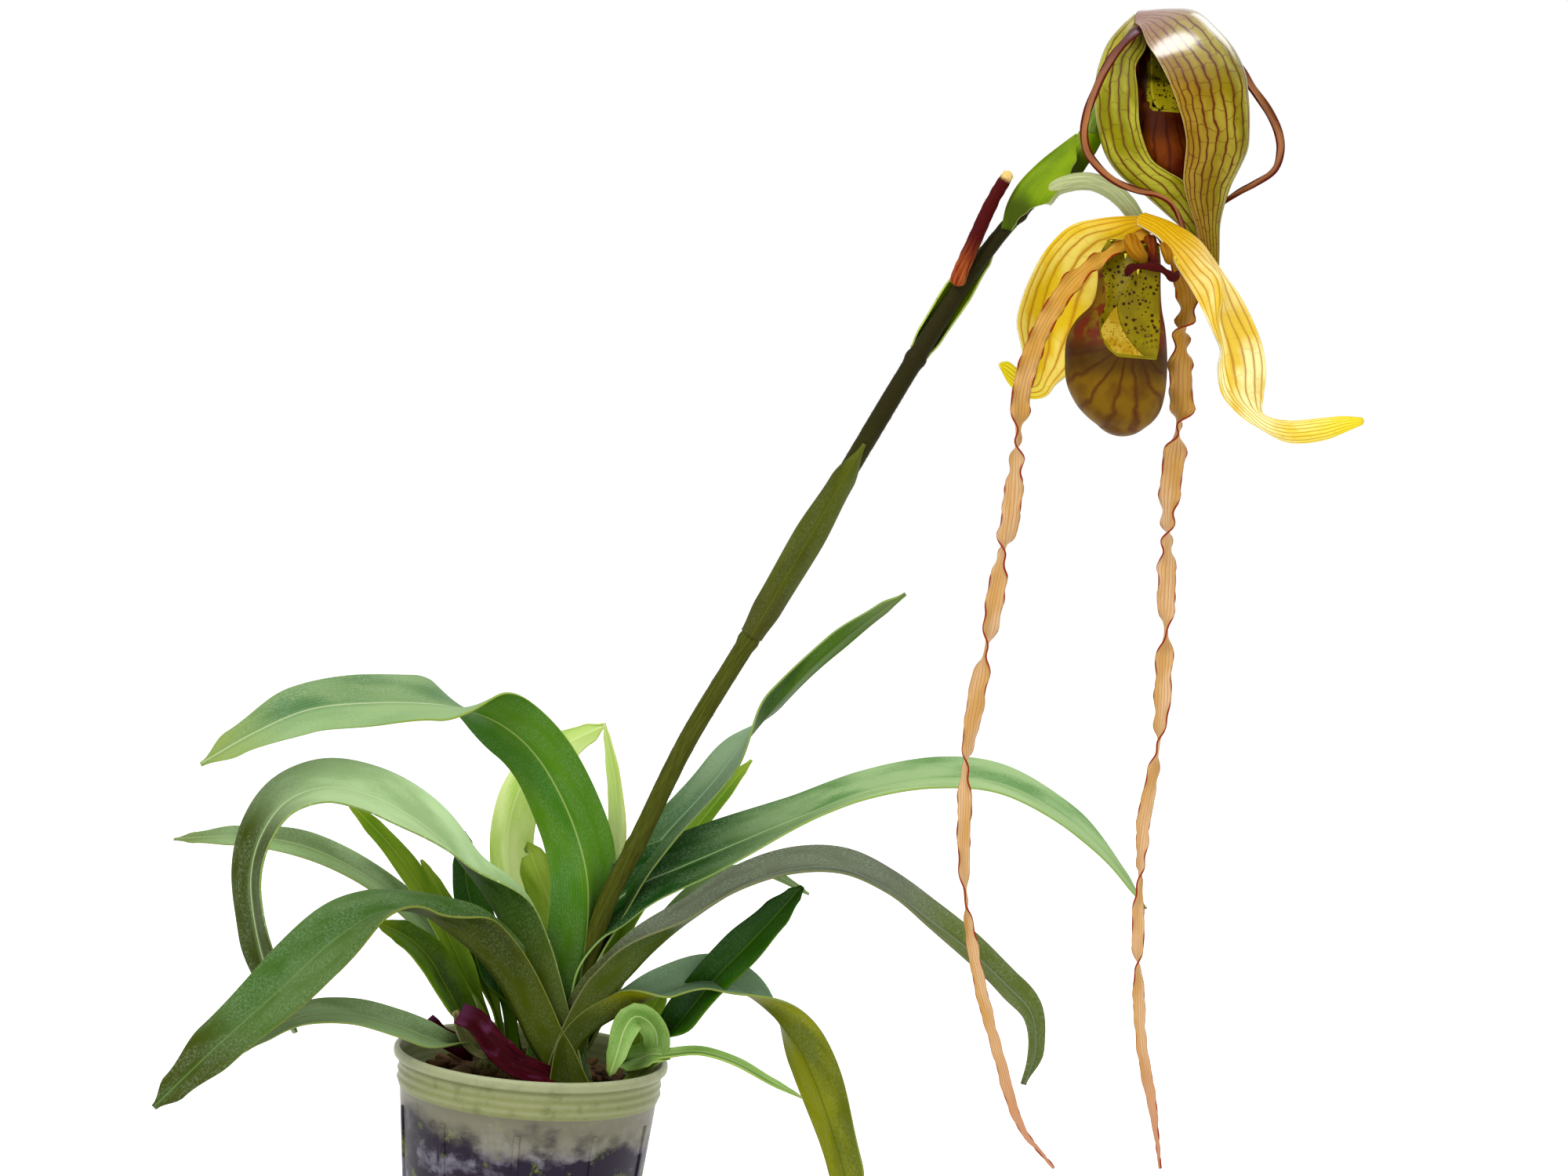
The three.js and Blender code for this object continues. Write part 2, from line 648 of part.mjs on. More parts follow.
function addFlower(where, flower, colours) {
  const { ovary, column, shield, pouch, petals, sepals } = flower;
  const ovarySpec = { ...ovary, steps: 12, sides: 8 };
  addPiece(`ovary_${where}`, FINISHES.bract(), (grow) => stem(ovarySpec, grow));
  addPiece(`column_${where}`, FINISHES.column(), (grow) => {
    const post = toSolid(stem({ ...column, steps: 5, sides: 8 }, grow));
    return toGeometry(post.add(toSolid(stem({ ...shield, steps: 6, sides: 8 }, grow))));
  });
  addPiece(`pouch_${where}`, FINISHES[colours.pouch](), (grow) => (
    toGeometry(pouchSolid(pouch, grow))
  ));
  for (const [hand, petal] of Object.entries(petals)) {
    const spec = { ...petal, thick: PETAL_THICKNESS, fold: 12, wave: MARGIN_WAVE };
    addPiece(`petal_${where}_${hand}`, FINISHES[colours.petal](), (grow) => blade(spec, grow));
  }
  for (const [hand, sepal] of Object.entries(sepals)) {
    const spec = { ...sepal, thick: SEPAL_THICKNESS, cup: true, lanes: 4 };
    addPiece(`sepal_${where}_${hand}`, FINISHES[colours.sepal](), (grow) => blade(spec, grow));
  }
}

// ---------------------------------------------------------------- leaves

// Half width along a strap leaf: narrow where it is folded at the crown, widest past the middle.
const strap = (half, base = 0.5) => [
  [0, half * base], [0.12, half * 0.8], [0.3, half], [0.65, half], [0.85, half * 0.72],
  [1, half * 0.06],
];
// Fold of a leaf: closed round the next one at the crown, open above.
const opening = (open, closed = 54) => [[0, closed], [0.14, closed], [0.32, open], [1, open * 0.6]];

const LEAVES = {
  leaf_front_left_low: {
    side: LEFT, half: strap(13.5), fold: opening(24),
    roll: [[0, 0], [0.36, 0], [0.62, 66], [1, 74]],
    points: [
      [8, -17, 100], [2, -21, 110], [-9, -26, 124], [-21, -31, 139], [-33, -36, 152],
      [-47, -43, 162], [-60, -50, 162], [-76, -59, 151], [-95, -67, 131], [-116, -72, 109],
      [-140, -76, 82],
    ],
  },
  leaf_front_left_curled: {
    side: LEFT, half: strap(12.5), fold: opening(26),
    roll: [[0, 0], [0.24, 0], [0.42, 36], [0.8, 44], [1, 60]],
    points: [
      [10, -17, 100], [5, -19, 115], [-5, -23, 135], [-20, -26, 156], [-36, -28, 176],
      [-55, -31, 195], [-72, -36, 205], [-88, -43, 207], [-101, -48, 201], [-109, -51, 188],
      [-112, -51, 172], [-109, -48, 150], [-102, -44, 128], [-92, -40, 108],
    ],
  },
  leaf_front_left_high: {
    side: LEFT, half: strap(13.5), fold: opening(28),
    roll: [[0, 0], [0.14, -70], [0.5, -74], [0.67, 32], [0.82, 58], [1, 62]],
    points: [
      [12, -17, 100], [14, -15, 125], [17, -11, 150], [17, -6, 172], [11, 0, 191], [2, 5, 207],
      [-8, 8, 220], [-18, 6, 229], [-30, -1, 236], [-46, -14, 240], [-70, -31, 241],
      [-95, -46, 238], [-115, -55, 228], [-134, -60, 215],
    ],
  },
  leaf_front_right_mid: {
    side: RIGHT, lean: -16, half: strap(11.5), fold: opening(26),
    roll: [[0, 0], [0.22, 4], [0.4, 12], [0.62, 14], [0.8, 30], [1, 36]],
    points: [
      [26.5, -17, 100], [28, -21, 116], [33, -27, 132], [44, -31, 150], [60, -32, 165],
      [80, -34, 181], [100, -35, 190], [119, -36, 192], [137, -37, 186], [154, -38, 176],
      [173, -39, 164], [187, -40, 153], [197, -41, 144], [200, -41, 130], [197, -41, 116],
    ],
  },
  leaf_front_right_low: {
    side: RIGHT, lean: -22, half: strap(11), fold: opening(28),
    roll: [[0, 0], [0.15, 0], [0.28, 40], [0.4, 32], [0.62, -62], [1, -70]],
    points: [
      [28.5, -17, 100], [31, -16, 113], [39, -14, 126], [54, -12, 134], [70, -10, 138],
      [84, -10, 134], [96, -11, 128], [107, -14, 118], [115, -18, 106], [124, -21, 87],
      [132, -23, 66], [138, -24, 44],
    ],
  },
  leaf_front_right_high: {
    side: RIGHT, lean: 25, half: strap(13), fold: opening(24),
    roll: [[0, 0], [0.18, 62], [0.32, 46], [0.5, 22], [1, 20]],
    points: [
      [24.5, -17, 100], [25, -16, 120], [29, -12, 144], [37, -7, 163], [53, -3, 178], [74, 1, 190],
      [99, 6, 202], [127, 9, 215], [155, 12, 222], [181, 15, 222], [206, 17, 212], [228, 19, 196],
      [249, 20, 173],
    ],
  },
  leaf_front_right_inner: {
    side: RIGHT, lean: 20, half: strap(9), fold: opening(26),
    roll: [[0, 0], [0.16, 54], [0.56, 44], [0.72, -34], [1, -40]],
    points: [
      [22.5, -17, 100], [23, -14, 124], [27, -7, 150], [34, 0, 172], [47, 5, 192], [63, 11, 212],
      [76, 16, 231], [87, 20, 246], [100, 22, 262], [116, 24, 278], [137, 26, 296],
    ],
  },
  leaf_right_creased: {
    side: RIGHT, half: strap(9, 0.5), fold: opening(34, 60), roll: [[0, 0], [0.3, 60], [1, 66]],
    points: [
      [48, 2, 100], [52, -4, 108], [60, -11, 120], [72, -17, 139], [88, -23, 160], [104, -28, 182],
    ],
  },
  leaf_right_curled: {
    young: true, side: LEFT, half: strap(8, 0.6), fold: opening(20, 50),
    roll: [[0, 40], [0.5, 60], [1, 70]],
    points: [
      [47, -2, 100], [52, -8, 108], [53, -12, 117], [48, -17, 123], [41, -22, 122], [36, -26, 116],
      [34, -28, 109], [33, -29, 103],
    ],
  },
  leaf_right_thin: {
    side: RIGHT, half: strap(2.6, 1), fold: opening(24, 30), roll: 30,
    points: [
      [41, -5, 100], [48, -14, 104], [57, -20, 108], [69, -25, 111], [83, -29, 109], [98, -32, 103],
      [111, -34, 98],
    ],
  },
  leaf_right_yellow: {
    young: true, side: RIGHT, half: strap(6, 0.6), fold: opening(24, 50), roll: 60,
    points: [[44, 5, 100], [44, 9, 108], [47, 12, 118], [52, 13, 129]],
  },
  leaf_right_stub: {
    young: true, side: RIGHT, half: strap(6, 0.8), fold: opening(30, 50), roll: 50,
    points: [[39, -5, 100], [44, -12, 103], [51, -17, 107], [57, -19, 106]],
  },
  leaf_left_narrow: {
    young: true, side: LEFT, lean: 14, half: strap(5.2), fold: opening(28),
    roll: [[0, 0], [0.3, 60], [1, 66]],
    points: [
      [-17, 3, 100], [-23, 4, 114], [-33, 4, 134], [-46, 2, 155], [-62, 0, 175], [-85, 0, 195],
    ],
  },
  leaf_left_long: {
    side: LEFT, lean: 28, half: strap(8), fold: opening(24), roll: [[0, 0], [0.3, 44], [1, 48]],
    points: [
      [-21, 8, 100], [-28, 11, 115], [-43, 14, 139], [-62, 18, 154], [-84, 20, 165],
      [-107, 21, 171], [-132, 20, 171], [-159, 17, 167],
    ],
  },
  leaf_left_small: {
    side: LEFT, half: strap(4), fold: opening(26), roll: 50,
    points: [[-13, 8, 100], [-22, 11, 125], [-38, 11, 152], [-52, 11, 173]],
  },
  leaf_left_broad: {
    side: LEFT, half: strap(8), fold: opening(26), roll: [[0, 0], [0.4, 40], [1, 50]],
    points: [
      [-20, 0, 100], [-27, -5, 110], [-36, -10, 125], [-44, -14, 138], [-53, -17, 146],
      [-64, -20, 151],
    ],
  },
  leaf_left_low: {
    side: LEFT, lean: -8, half: strap(6.6), fold: opening(24), roll: [[0, 0], [0.35, 40], [1, 40]],
    points: [
      [-20, -1, 100], [-27, -12, 102], [-37, -23, 106], [-52, -33, 113], [-70, -40, 118],
      [-88, -45, 117], [-103, -48, 109], [-114, -50, 100],
    ],
  },
  leaf_left_inner: {
    side: LEFT, half: strap(8), fold: opening(24), roll: [[0, 0], [0.4, 50], [1, 60]],
    points: [[-10, 6, 100], [-14, 10, 115], [-23, 14, 138], [-33, 17, 162], [-36, 18, 185]],
  },
  leaf_back_arched: {
    side: LEFT, lean: 14, half: strap(11), fold: opening(22),
    roll: [[0, 0], [0.3, -60], [0.6, -60], [1, -60]],
    points: [
      [7, 20, 100], [-5, 25, 122], [-15, 30, 156], [-18, 33, 184], [-12, 35, 207], [1, 37, 221],
      [20, 38, 233],
    ],
  },
  leaf_back_yellow: {
    young: true, side: LEFT, half: strap(8), fold: opening(22),
    roll: [[0, 0], [0.3, -60], [1, -50]],
    points: [
      [10, 19, 100], [8, 18, 133], [3, 17, 162], [-4, 15, 178], [-11, 11, 182], [-16, 8, 172],
    ],
  },
  leaf_back_upright: {
    side: RIGHT, lean: 10, half: strap(5), fold: opening(30), roll: 50,
    points: [[17, 22, 100], [23, 26, 143], [28, 28, 179], [24, 29, 208], [17, 30, 232]],
  },
  leaf_back_pointed: {
    young: true, side: RIGHT, lean: 18, half: strap(6), fold: opening(30), roll: 50,
    points: [[20, 22, 100], [34, 28, 150], [51, 31, 180], [66, 33, 202], [79, 35, 220]],
  },
  leaf_back_thin: {
    side: RIGHT, lean: 24, half: strap(3.5), fold: opening(26), roll: 40,
    points: [[23, 24, 100], [44, 30, 145], [65, 33, 169], [87, 36, 174], [108, 38, 164]],
  },
};

// Papery old sheaths low on the growths.
const SHEATHS = {
  sheath_purple_front: {
    finish: 'purpleSheath', side: LEFT, half: [[0, 5], [0.4, 7], [1, 3]], fold: 30, roll: 50,
    points: [[8, -23, 99], [-2, -25, 100], [-12, -25, 104], [-20, -23, 111], [-28, -20, 119]],
  },
  sheath_purple_back: {
    finish: 'purpleSheath', side: LEFT, half: [[0, 5], [1, 4]], fold: 20, roll: 60,
    points: [[-24, 0, 98], [-31, -5, 101], [-38, -9, 106], [-43, -11, 111]],
  },
  sheath_green_small: {
    finish: 'greenSheath', side: LEFT, half: [[0, 4], [0.6, 4], [1, 1.4]], fold: 26, roll: 60,
    points: [[-18, -2, 99], [-23, -13, 103], [-28, -17, 110], [-31, -19, 118]],
  },
};

function addSheaths() {
  for (const [name, sheath] of Object.entries(SHEATHS)) {
    addPiece(name, FINISHES[sheath.finish](), (grow) => blade({ ...sheath, steps: 6 }, grow));
  }
}

function addLeaves() {
  for (const [name, leaf] of Object.entries(LEAVES)) {
    const steps = Math.max(8, Math.round(toCurve(leaf.points, leaf.lean).getLength() / LEAF_STEP));
    const material = leaf.young ? FINISHES.youngLeaf() : FINISHES.leaf();
    addPiece(name, material, (grow) => blade({ ...leaf, steps }, grow));
  }
}

// ---------------------------------------------------------------- growing the part

addPot();
addRhizome();
addBark();
addScape();
addBracts();
addFlower('lower', LOWER_FLOWER, { pouch: 'pouch', petal: 'petal', sepal: 'goldSepal' });
addFlower('upper', UPPER_FLOWER, { pouch: 'darkPouch', petal: 'darkPetal', sepal: 'greenSepal' });
addLeaves();
addSheaths();

export default plant;
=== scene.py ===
"""Potted slipper orchid in bloom: the visible surfaces, built round the plant's solids.

Sizes in the classes are millimetres, and Blender's are metres. +Z is up, +X is the way the
flower stem leans, -Y is the front, and the origin is the centre of the pot's flat underside.
"""

import logging
import math
import random
from bisect import bisect_right
from dataclasses import dataclass
from enum import Enum
from typing import Any, Callable, Mapping, Sequence, Union

import bmesh
import bpy
from mathutils import Matrix, Vector, noise


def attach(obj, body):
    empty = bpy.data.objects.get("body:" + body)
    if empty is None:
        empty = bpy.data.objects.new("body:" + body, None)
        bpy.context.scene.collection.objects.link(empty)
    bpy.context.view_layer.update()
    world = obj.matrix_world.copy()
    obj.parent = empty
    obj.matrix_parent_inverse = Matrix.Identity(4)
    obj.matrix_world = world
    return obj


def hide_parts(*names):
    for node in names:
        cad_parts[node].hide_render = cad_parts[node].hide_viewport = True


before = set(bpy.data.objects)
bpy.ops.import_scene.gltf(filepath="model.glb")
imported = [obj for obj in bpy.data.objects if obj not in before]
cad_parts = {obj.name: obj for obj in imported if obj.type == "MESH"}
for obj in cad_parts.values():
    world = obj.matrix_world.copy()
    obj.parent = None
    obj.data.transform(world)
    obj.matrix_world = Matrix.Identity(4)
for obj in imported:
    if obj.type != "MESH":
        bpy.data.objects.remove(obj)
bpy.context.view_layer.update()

LOG = logging.getLogger("orchid")
MM = 0.001
SPAN_ACROSS = 40.0
SPAN_ALONG = 500.0
LAMP_GAIN = 1.6
FAINT_GLOSS = 0.06
HAZE = 0.006
WELD = 1e-6
SEARCH_STEPS = 24
# bloom colour of the leaves, which also stands in for painted sheen
BLOOM_AND_SHEEN_CODE = "a9bfa0"
DUST_CODE = "e4e8dc"
POT_CODES = "7f8450 a9ad84 5f6636 c3c8a6 4a4052 81808c 241a2c 2b1f31 6f7a34 8a8770"

Mesh = bmesh.types.BMesh
Item = bpy.types.Object
Finish = bpy.types.Material
Point = tuple[float, float, float]
Points = Sequence[Point]
Keys = Union[float, Sequence[tuple[float, float]]]
Colour = tuple[float, float, float, float]
Value = Union["Wire", float, Colour, Point]


class Side(Enum):
    """The side that a blade arches to."""

    RIGHT = -1
    LEFT = 1


# ---- number helpers


def smooth(low: float, high: float, value: float) -> float:
    """Eased share of the way from one number to another.

    Args:
        low: Value that gives 0.
        high: Value that gives 1.
        value: Number to place between them.

    Returns:
        The share, from 0 to 1.
    """
    share = min(1.0, max(0.0, (value - low) / (high - low)))
    return share * share * (3.0 - 2.0 * share)


def keyed(keys: Keys, place: float) -> float:
    """Value of a list of keys at a place, eased between neighbours.

    Args:
        keys: One number, or (place, value) pairs in rising order.
        place: Where to read them.

    Returns:
        The value there.
    """
    if isinstance(keys, (int, float)):
        return float(keys)
    if place <= keys[0][0]:
        return keys[0][1]
    for (start, before), (end, after) in zip(keys, keys[1:]):
        if place <= end:
            return before + (after - before) * smooth(start, end, place)
    return keys[-1][1]


def grid(text: str) -> tuple[tuple[float, ...], ...]:
    """Groups of numbers that are written in a line, with commas between the groups."""
    return tuple(tuple(map(float, group.split())) for group in text.split(","))


def rows(text: str) -> tuple[tuple[tuple[float, ...], ...], ...]:
    """Rows of such groups, one to a line."""
    return tuple(grid(line) for line in text.strip().splitlines())


def wander(seed: float, place: float) -> float:
    """Repeatable smooth number from about -1 to 1 along the line of a seed."""
    return noise.noise(Vector((place, 7.3 * seed, 1.7 * seed))) * 1.6


# ---- lines in space


def through(points: Sequence[Vector], share: float) -> Vector:
    """Point of the smooth curve through some points.

    Args:
        points: Points that it passes through.
        share: How far through the list of points it lies, from 0 to 1.

    Returns:
        The point.
    """
    last = len(points) - 1
    index = min(int(last * share), last - 1)
    weight = last * share - index
    one, two = points[index], points[index + 1]
    zero = points[index - 1] if index > 0 else 2 * one - two
    three = points[index + 2] if index + 2 <= last else 2 * two - one
    steps = [max((b - a).length ** 0.5, 1e-4) for a, b in ((zero, one), (one, two), (two, three))]
    start = ((one - zero) / steps[0] - (two - zero) / (steps[0] + steps[1])
             + (two - one) / steps[1]) * steps[1]
    end = ((two - one) / steps[1] - (three - one) / (steps[1] + steps[2])
           + (three - two) / steps[2]) * steps[1]
    square, cube = weight * weight, weight ** 3
    return (one + start * weight + (3 * (two - one) - 2 * start - end) * square
            + (2 * (one - two) + start + end) * cube)


class Line:
    """Smooth line through points, read by the share of its length behind a place."""

    DIVISIONS = 200
    NUDGE = 0.0001

    def __init__(self, points: Points, lean: float = 0.0) -> None:
        """Stores the points and measures the line.

        Args:
            points: Points that the line passes through.
            lean: How much further back the last point lies than the points say.
        """
        last = len(points) - 1
        self.points = [
            Vector((x, y + lean * (i / last) ** 2, z)) for i, (x, y, z) in enumerate(points)
        ]
        places = [through(self.points, i / self.DIVISIONS) for i in range(self.DIVISIONS + 1)]
        self.reach = [0.0]
        for before, after in zip(places, places[1:]):
            self.reach.append(self.reach[-1] + (after - before).length)

    @property
    def length(self) -> float:
        """Whole length of the line."""
        return self.reach[-1]

    def share(self, place: float) -> float:
        """Share of the list of points at a share of the length.

        Args:
            place: Share of the length.

        Returns:
            The share of the list.
        """
        goal = max(0.0, place) * self.length
        low = bisect_right(self.reach, goal, 1, self.DIVISIONS) - 1
        gap = self.reach[low + 1] - self.reach[low]
        return min(1.0, (low + (goal - self.reach[low]) / gap) / self.DIVISIONS)

    def at(self, place: float) -> Vector:
        """Point at a share of the length, straight on below the start.

        Args:
            place: Share of the length.

        Returns:
            The point.
        """
        if place < 0.0:
            return self.points[0] + self.heading(0.0) * (place * self.length)
        return through(self.points, self.share(place))

    def heading(self, place: float) -> Vector:
        """Direction of the line at a share of the length.

        Args:
            place: Share of the length.

        Returns:
            The direction, of length 1.
        """
        share = self.share(place)
        before = through(self.points, max(0.0, share - self.NUDGE))
        return (through(self.points, min(1.0, share + self.NUDGE)) - before).normalized()


@dataclass(frozen=True)
class Bearing:
    """Point of a line with the directions along it, across it and out of its upper face."""

    point: Vector
    along: Vector
    across: Vector
    upper: Vector

    @classmethod
    def on(cls, line: Line, place: float, side: Side, roll: float) -> "Bearing":
        """Bearing at a place.

        Args:
            line: Centre line.
            place: Share of its length.
            side: Side that the blade arches to.
            roll: Turn about the line in degrees, 0 for edge-on to the front.

        Returns:
            The bearing there.
        """
        along = line.heading(place)
        flat = Vector((0.0, side.value, 0.0)) - along * (side.value * along.y)
        flat.normalize()
        rise = flat.cross(along)
        turn = math.radians(roll)
        across = flat * math.cos(turn) + rise * (side.value * math.sin(turn))
        return cls(line.at(place), along, across, across.cross(along))

    def move(self, x: float, y: float) -> Vector:
        """Point that lies x across and y out of the upper face."""
        return self.point + self.across * x + self.upper * y


# ---- meshes


def write_map(mesh: Mesh, name: str,
              rule: Callable[[bmesh.types.BMVert], tuple[float, float]]) -> None:
    """Writes a UV map from a rule on the vertices.

    Args:
        mesh: Mesh to write to.
        name: Name of the map.
        rule: Gives a vertex's two values.
    """
    layer = mesh.loops.layers.uv.new(name)
    for face in mesh.faces:
        for corner in face.loops:
            corner[layer].uv = rule(corner.vert)


def sheet(columns: int, rows: int, place: Callable[[float, float], Vector],
          span: Callable[[float, float], tuple[float, float]]) -> Mesh:
    """Grid laid out by a rule, with its two maps: blade, 0 to 1, and span, by its size.

    Args:
        columns: Faces across.
        rows: Faces along.
        place: Gives the point in millimetres for across and along, each from 0 to 1.
        span: Gives the same spot's distance across and along, in millimetres.

    Returns:
        The mesh, in metres.
    """
    mesh = bmesh.new()
    bmesh.ops.create_grid(mesh, x_segments=columns, y_segments=rows, size=0.5)
    spots = {v: (v.co.x + 0.5, v.co.y + 0.5) for v in mesh.verts}
    write_map(mesh, "blade", lambda v: spots[v])

    def by_size(vertex: bmesh.types.BMVert) -> tuple[float, float]:
        """Distances of a vertex as shares of the span map's size."""
        across, along = span(*spots[vertex])
        return across / SPAN_ACROSS + 0.5, along / SPAN_ALONG

    write_map(mesh, "span", by_size)
    for vertex, (across, along) in spots.items():
        vertex.co = place(across, along) * MM
    return mesh


def join(mesh: Mesh, other: Mesh) -> None:
    """Adds one mesh to another and frees it.

    Args:
        mesh: Mesh that grows.
        other: Mesh that is added.
    """
    copy = bpy.data.meshes.new("join")
    other.to_mesh(copy)
    other.free()
    mesh.from_mesh(copy)
    bpy.data.meshes.remove(copy)


def spun(profile: Sequence[tuple[float, float]], steps: int) -> Mesh:
    """Profile turned about the Z axis.

    Args:
        profile: Radius and height of each point, in millimetres.
        steps: Faces round.

    Returns:
        The mesh, in metres, with its seam and poles closed.
    """
    mesh = bmesh.new()
    verts = [mesh.verts.new((radius * MM, 0.0, height * MM)) for radius, height in profile]
    edges = [mesh.edges.new(pair) for pair in zip(verts, verts[1:])]
    bmesh.ops.spin(mesh, geom=verts + edges, cent=(0, 0, 0), axis=(0, 0, 1), angle=math.tau,
                   steps=steps, use_merge=True, use_duplicate=False)
    bmesh.ops.remove_doubles(mesh, verts=mesh.verts, dist=WELD)
    bmesh.ops.recalc_face_normals(mesh, faces=mesh.faces)
    return mesh


@dataclass(frozen=True)
class Piece:
    """A finished piece of the plant: its name, slot and the solids that it stands for."""

    name: str
    slot: str
    nodes: tuple[str, ...]

    def set_out(self, mesh: Mesh,
                finishes: Sequence[Finish]) -> Item:
        """Turns a mesh into the scene's object, with smooth faces.

        Args:
            mesh: Mesh in metres, freed afterwards.
            finishes: Materials of its slots.

        Returns:
            The object, riding on the plant's body.
        """
        for face in mesh.faces:
            face.smooth = True
        data = bpy.data.meshes.new(self.name)
        mesh.to_mesh(data)
        mesh.free()
        for material in finishes:
            data.materials.append(material)
        piece = bpy.data.objects.new(self.name, data)
        bpy.context.scene.collection.objects.link(piece)
        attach(piece, "root")
        if self.nodes:
            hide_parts(*self.nodes)
        LOG.info("%s: %d faces", self.name, len(data.polygons))
        return piece


def thicken(piece: Item, thickness: float, inner: int = 1, rim: int = 2,
            offset: float = 0.0) -> None:
    """Gives a sheet its thickness with a Solidify modifier.

    Args:
        piece: Object of the sheet.
        thickness: Millimetres.
        inner: Slots added for the under face.
        rim: Slots added for the margin.
        offset: 0 for a centred wall, -1 for one that grows inwards.
    """
    solidify = piece.modifiers.new("thickness", "SOLIDIFY")
    solidify.thickness = thickness * MM
    solidify.offset = offset
    solidify.material_offset = inner
    solidify.material_offset_rim = rim


@dataclass(frozen=True)
class Ripple:
    """Waves of a blade's margins.

    height holds keys in millimetres, count the waves along, fray the share of the half width by
    which the outline comes and goes, and curl how far the margins bend down.
    """

    height: Keys = 0.0
    count: float = 0.0
    phase: float = 0.0
    fray: float = 0.0
    curl: float = 0.0

    def lift(self, across: float, along: float) -> float:
        """Height of the waves.

        Args:
            across: Place from margin to margin, -1 to 1.
            along: Share of the length.

        Returns:
            The height.
        """
        swing = math.sin(math.tau * self.count * along + self.phase)
        swing += 0.35 * wander(5.0 + self.phase, 2.3 * self.count * along)
        return keyed(self.height, along) * across ** 3 * swing - self.curl * abs(across) ** 5

    def spread(self, across: float, along: float) -> float:
        """Share by which the frayed outline is wider at a place."""
        return self.fray * wander(2.0 + math.copysign(1.0, across), 1.7 * self.count * along)


def lane(across: float) -> float:
    """Place across from -1 to 1, with narrow lanes at the margins."""
    even = 2.0 * across - 1.0
    return even * (1.4 - 0.4 * even * even)


@dataclass(frozen=True)
class Blade:
    """Leaf, sepal, petal, bract or sheath: a folded or cupped ribbon along a line from its base.

    half, fold and roll are keys of the half width, of the angle by which each half rises, and of
    the turn about the line. lean moves the tip back, and root runs the blade on below its base.
    The sheet has lanes across and a row for each pace along.
    """

    points: Points
    half: Keys
    side: Side
    lean: float = 0.0
    fold: Keys = 0.0
    roll: Keys = 0.0
    rounded: bool = False
    thickness: float = 0.9
    ripple: Ripple = Ripple()
    lanes: int = 16
    pace: float = 2.5
    root: float = 0.0

    def section(self, across: float, along: float) -> tuple[float, float]:
        """Section of the blade.

        Args:
            across: Place from margin to margin, -1 to 1.
            along: Share of the length.

        Returns:
            Distance across and out of the upper face, in millimetres.
        """
        half = keyed(self.half, along) * (1.0 + self.ripple.spread(across, along))
        angle = math.radians(keyed(self.fold, along))
        rise = across * across if self.rounded else abs(across) ** 1.15
        height = half * rise * math.sin(angle) + self.ripple.lift(across, along)
        return half * across * math.cos(angle), height

    def sheet(self) -> Mesh:
        """Middle sheet of the blade, its upper face outwards.

        Returns:
            The sheet, in metres.
        """
        line = Line(self.points, self.lean)
        rows = max(16, round(line.length / self.pace))
        low = -self.root / line.length
        places = [low + (1.0 - low) * i / rows for i in range(rows + 1)]
        bearings = [
            Bearing.on(line, place, self.side, keyed(self.roll, place)) for place in places
        ]

        def place(across: float, along: float) -> Vector:
            """Point of the sheet."""
            row = round(along * rows)
            return bearings[row].move(*self.section(lane(across), places[row]))

        def span(across: float, along: float) -> tuple[float, float]:
            """Distances from the midrib and the base."""
            place_on = places[round(along * rows)]
            return lane(across) * keyed(self.half, place_on), max(0.0, place_on) * line.length

        return sheet(self.lanes, rows, place, span)


@dataclass(frozen=True)
class Loft:
    """Sepal laid through rows of points, from its base, each from one margin to the other."""

    rows: Sequence[Points]
    thickness: float = 0.8
    ripple: Ripple = Ripple(0.5, 2.3, 0.9, fray=0.03)
    lanes: int = 32
    pace: float = 1.2

    def sheet(self) -> Mesh:
        """Middle sheet of the sepal, its upper face outwards.

        Returns:
            The sheet, in metres.
        """
        lines = [Line(points) for points in zip(*self.rows)]
        middle = lines[len(lines) // 2]
        count = round(middle.length / self.pace)
        shares = [middle.share(i / count) for i in range(count + 1)]
        cuts = [[through(line.points, share) for line in lines] for share in shares]

        def place(across: float, along: float) -> Vector:
            """Point of the sheet.

            Args:
                across: Place across, 0 to 1.
                along: Place along, 0 to 1.

            Returns:
                The point, in millimetres.
            """
            row = round(along * count)
            size = lane(across)
            spot = 0.5 * size + 0.5
            point = through(cuts[row], spot)
            before, after = cuts[max(0, row - 1)], cuts[min(count, row + 1)]
            wide = through(cuts[row], min(1.0, spot + 0.01)) - through(cuts[row], max(0.0, spot - 0.01))
            out = wide.cross(through(after, spot) - through(before, spot)).normalized()
            centre = through(cuts[row], 0.5)
            return (point + (point - centre) * self.ripple.spread(size, along)
                    + out * self.ripple.lift(size, along))

        def span(across: float, along: float) -> tuple[float, float]:
            """Distances from the middle and the base."""
            cut = cuts[round(along * count)]
            return lane(across) * 0.5 * (cut[0] - cut[-1]).length, along * middle.length

        return sheet(self.lanes, count, place, span)


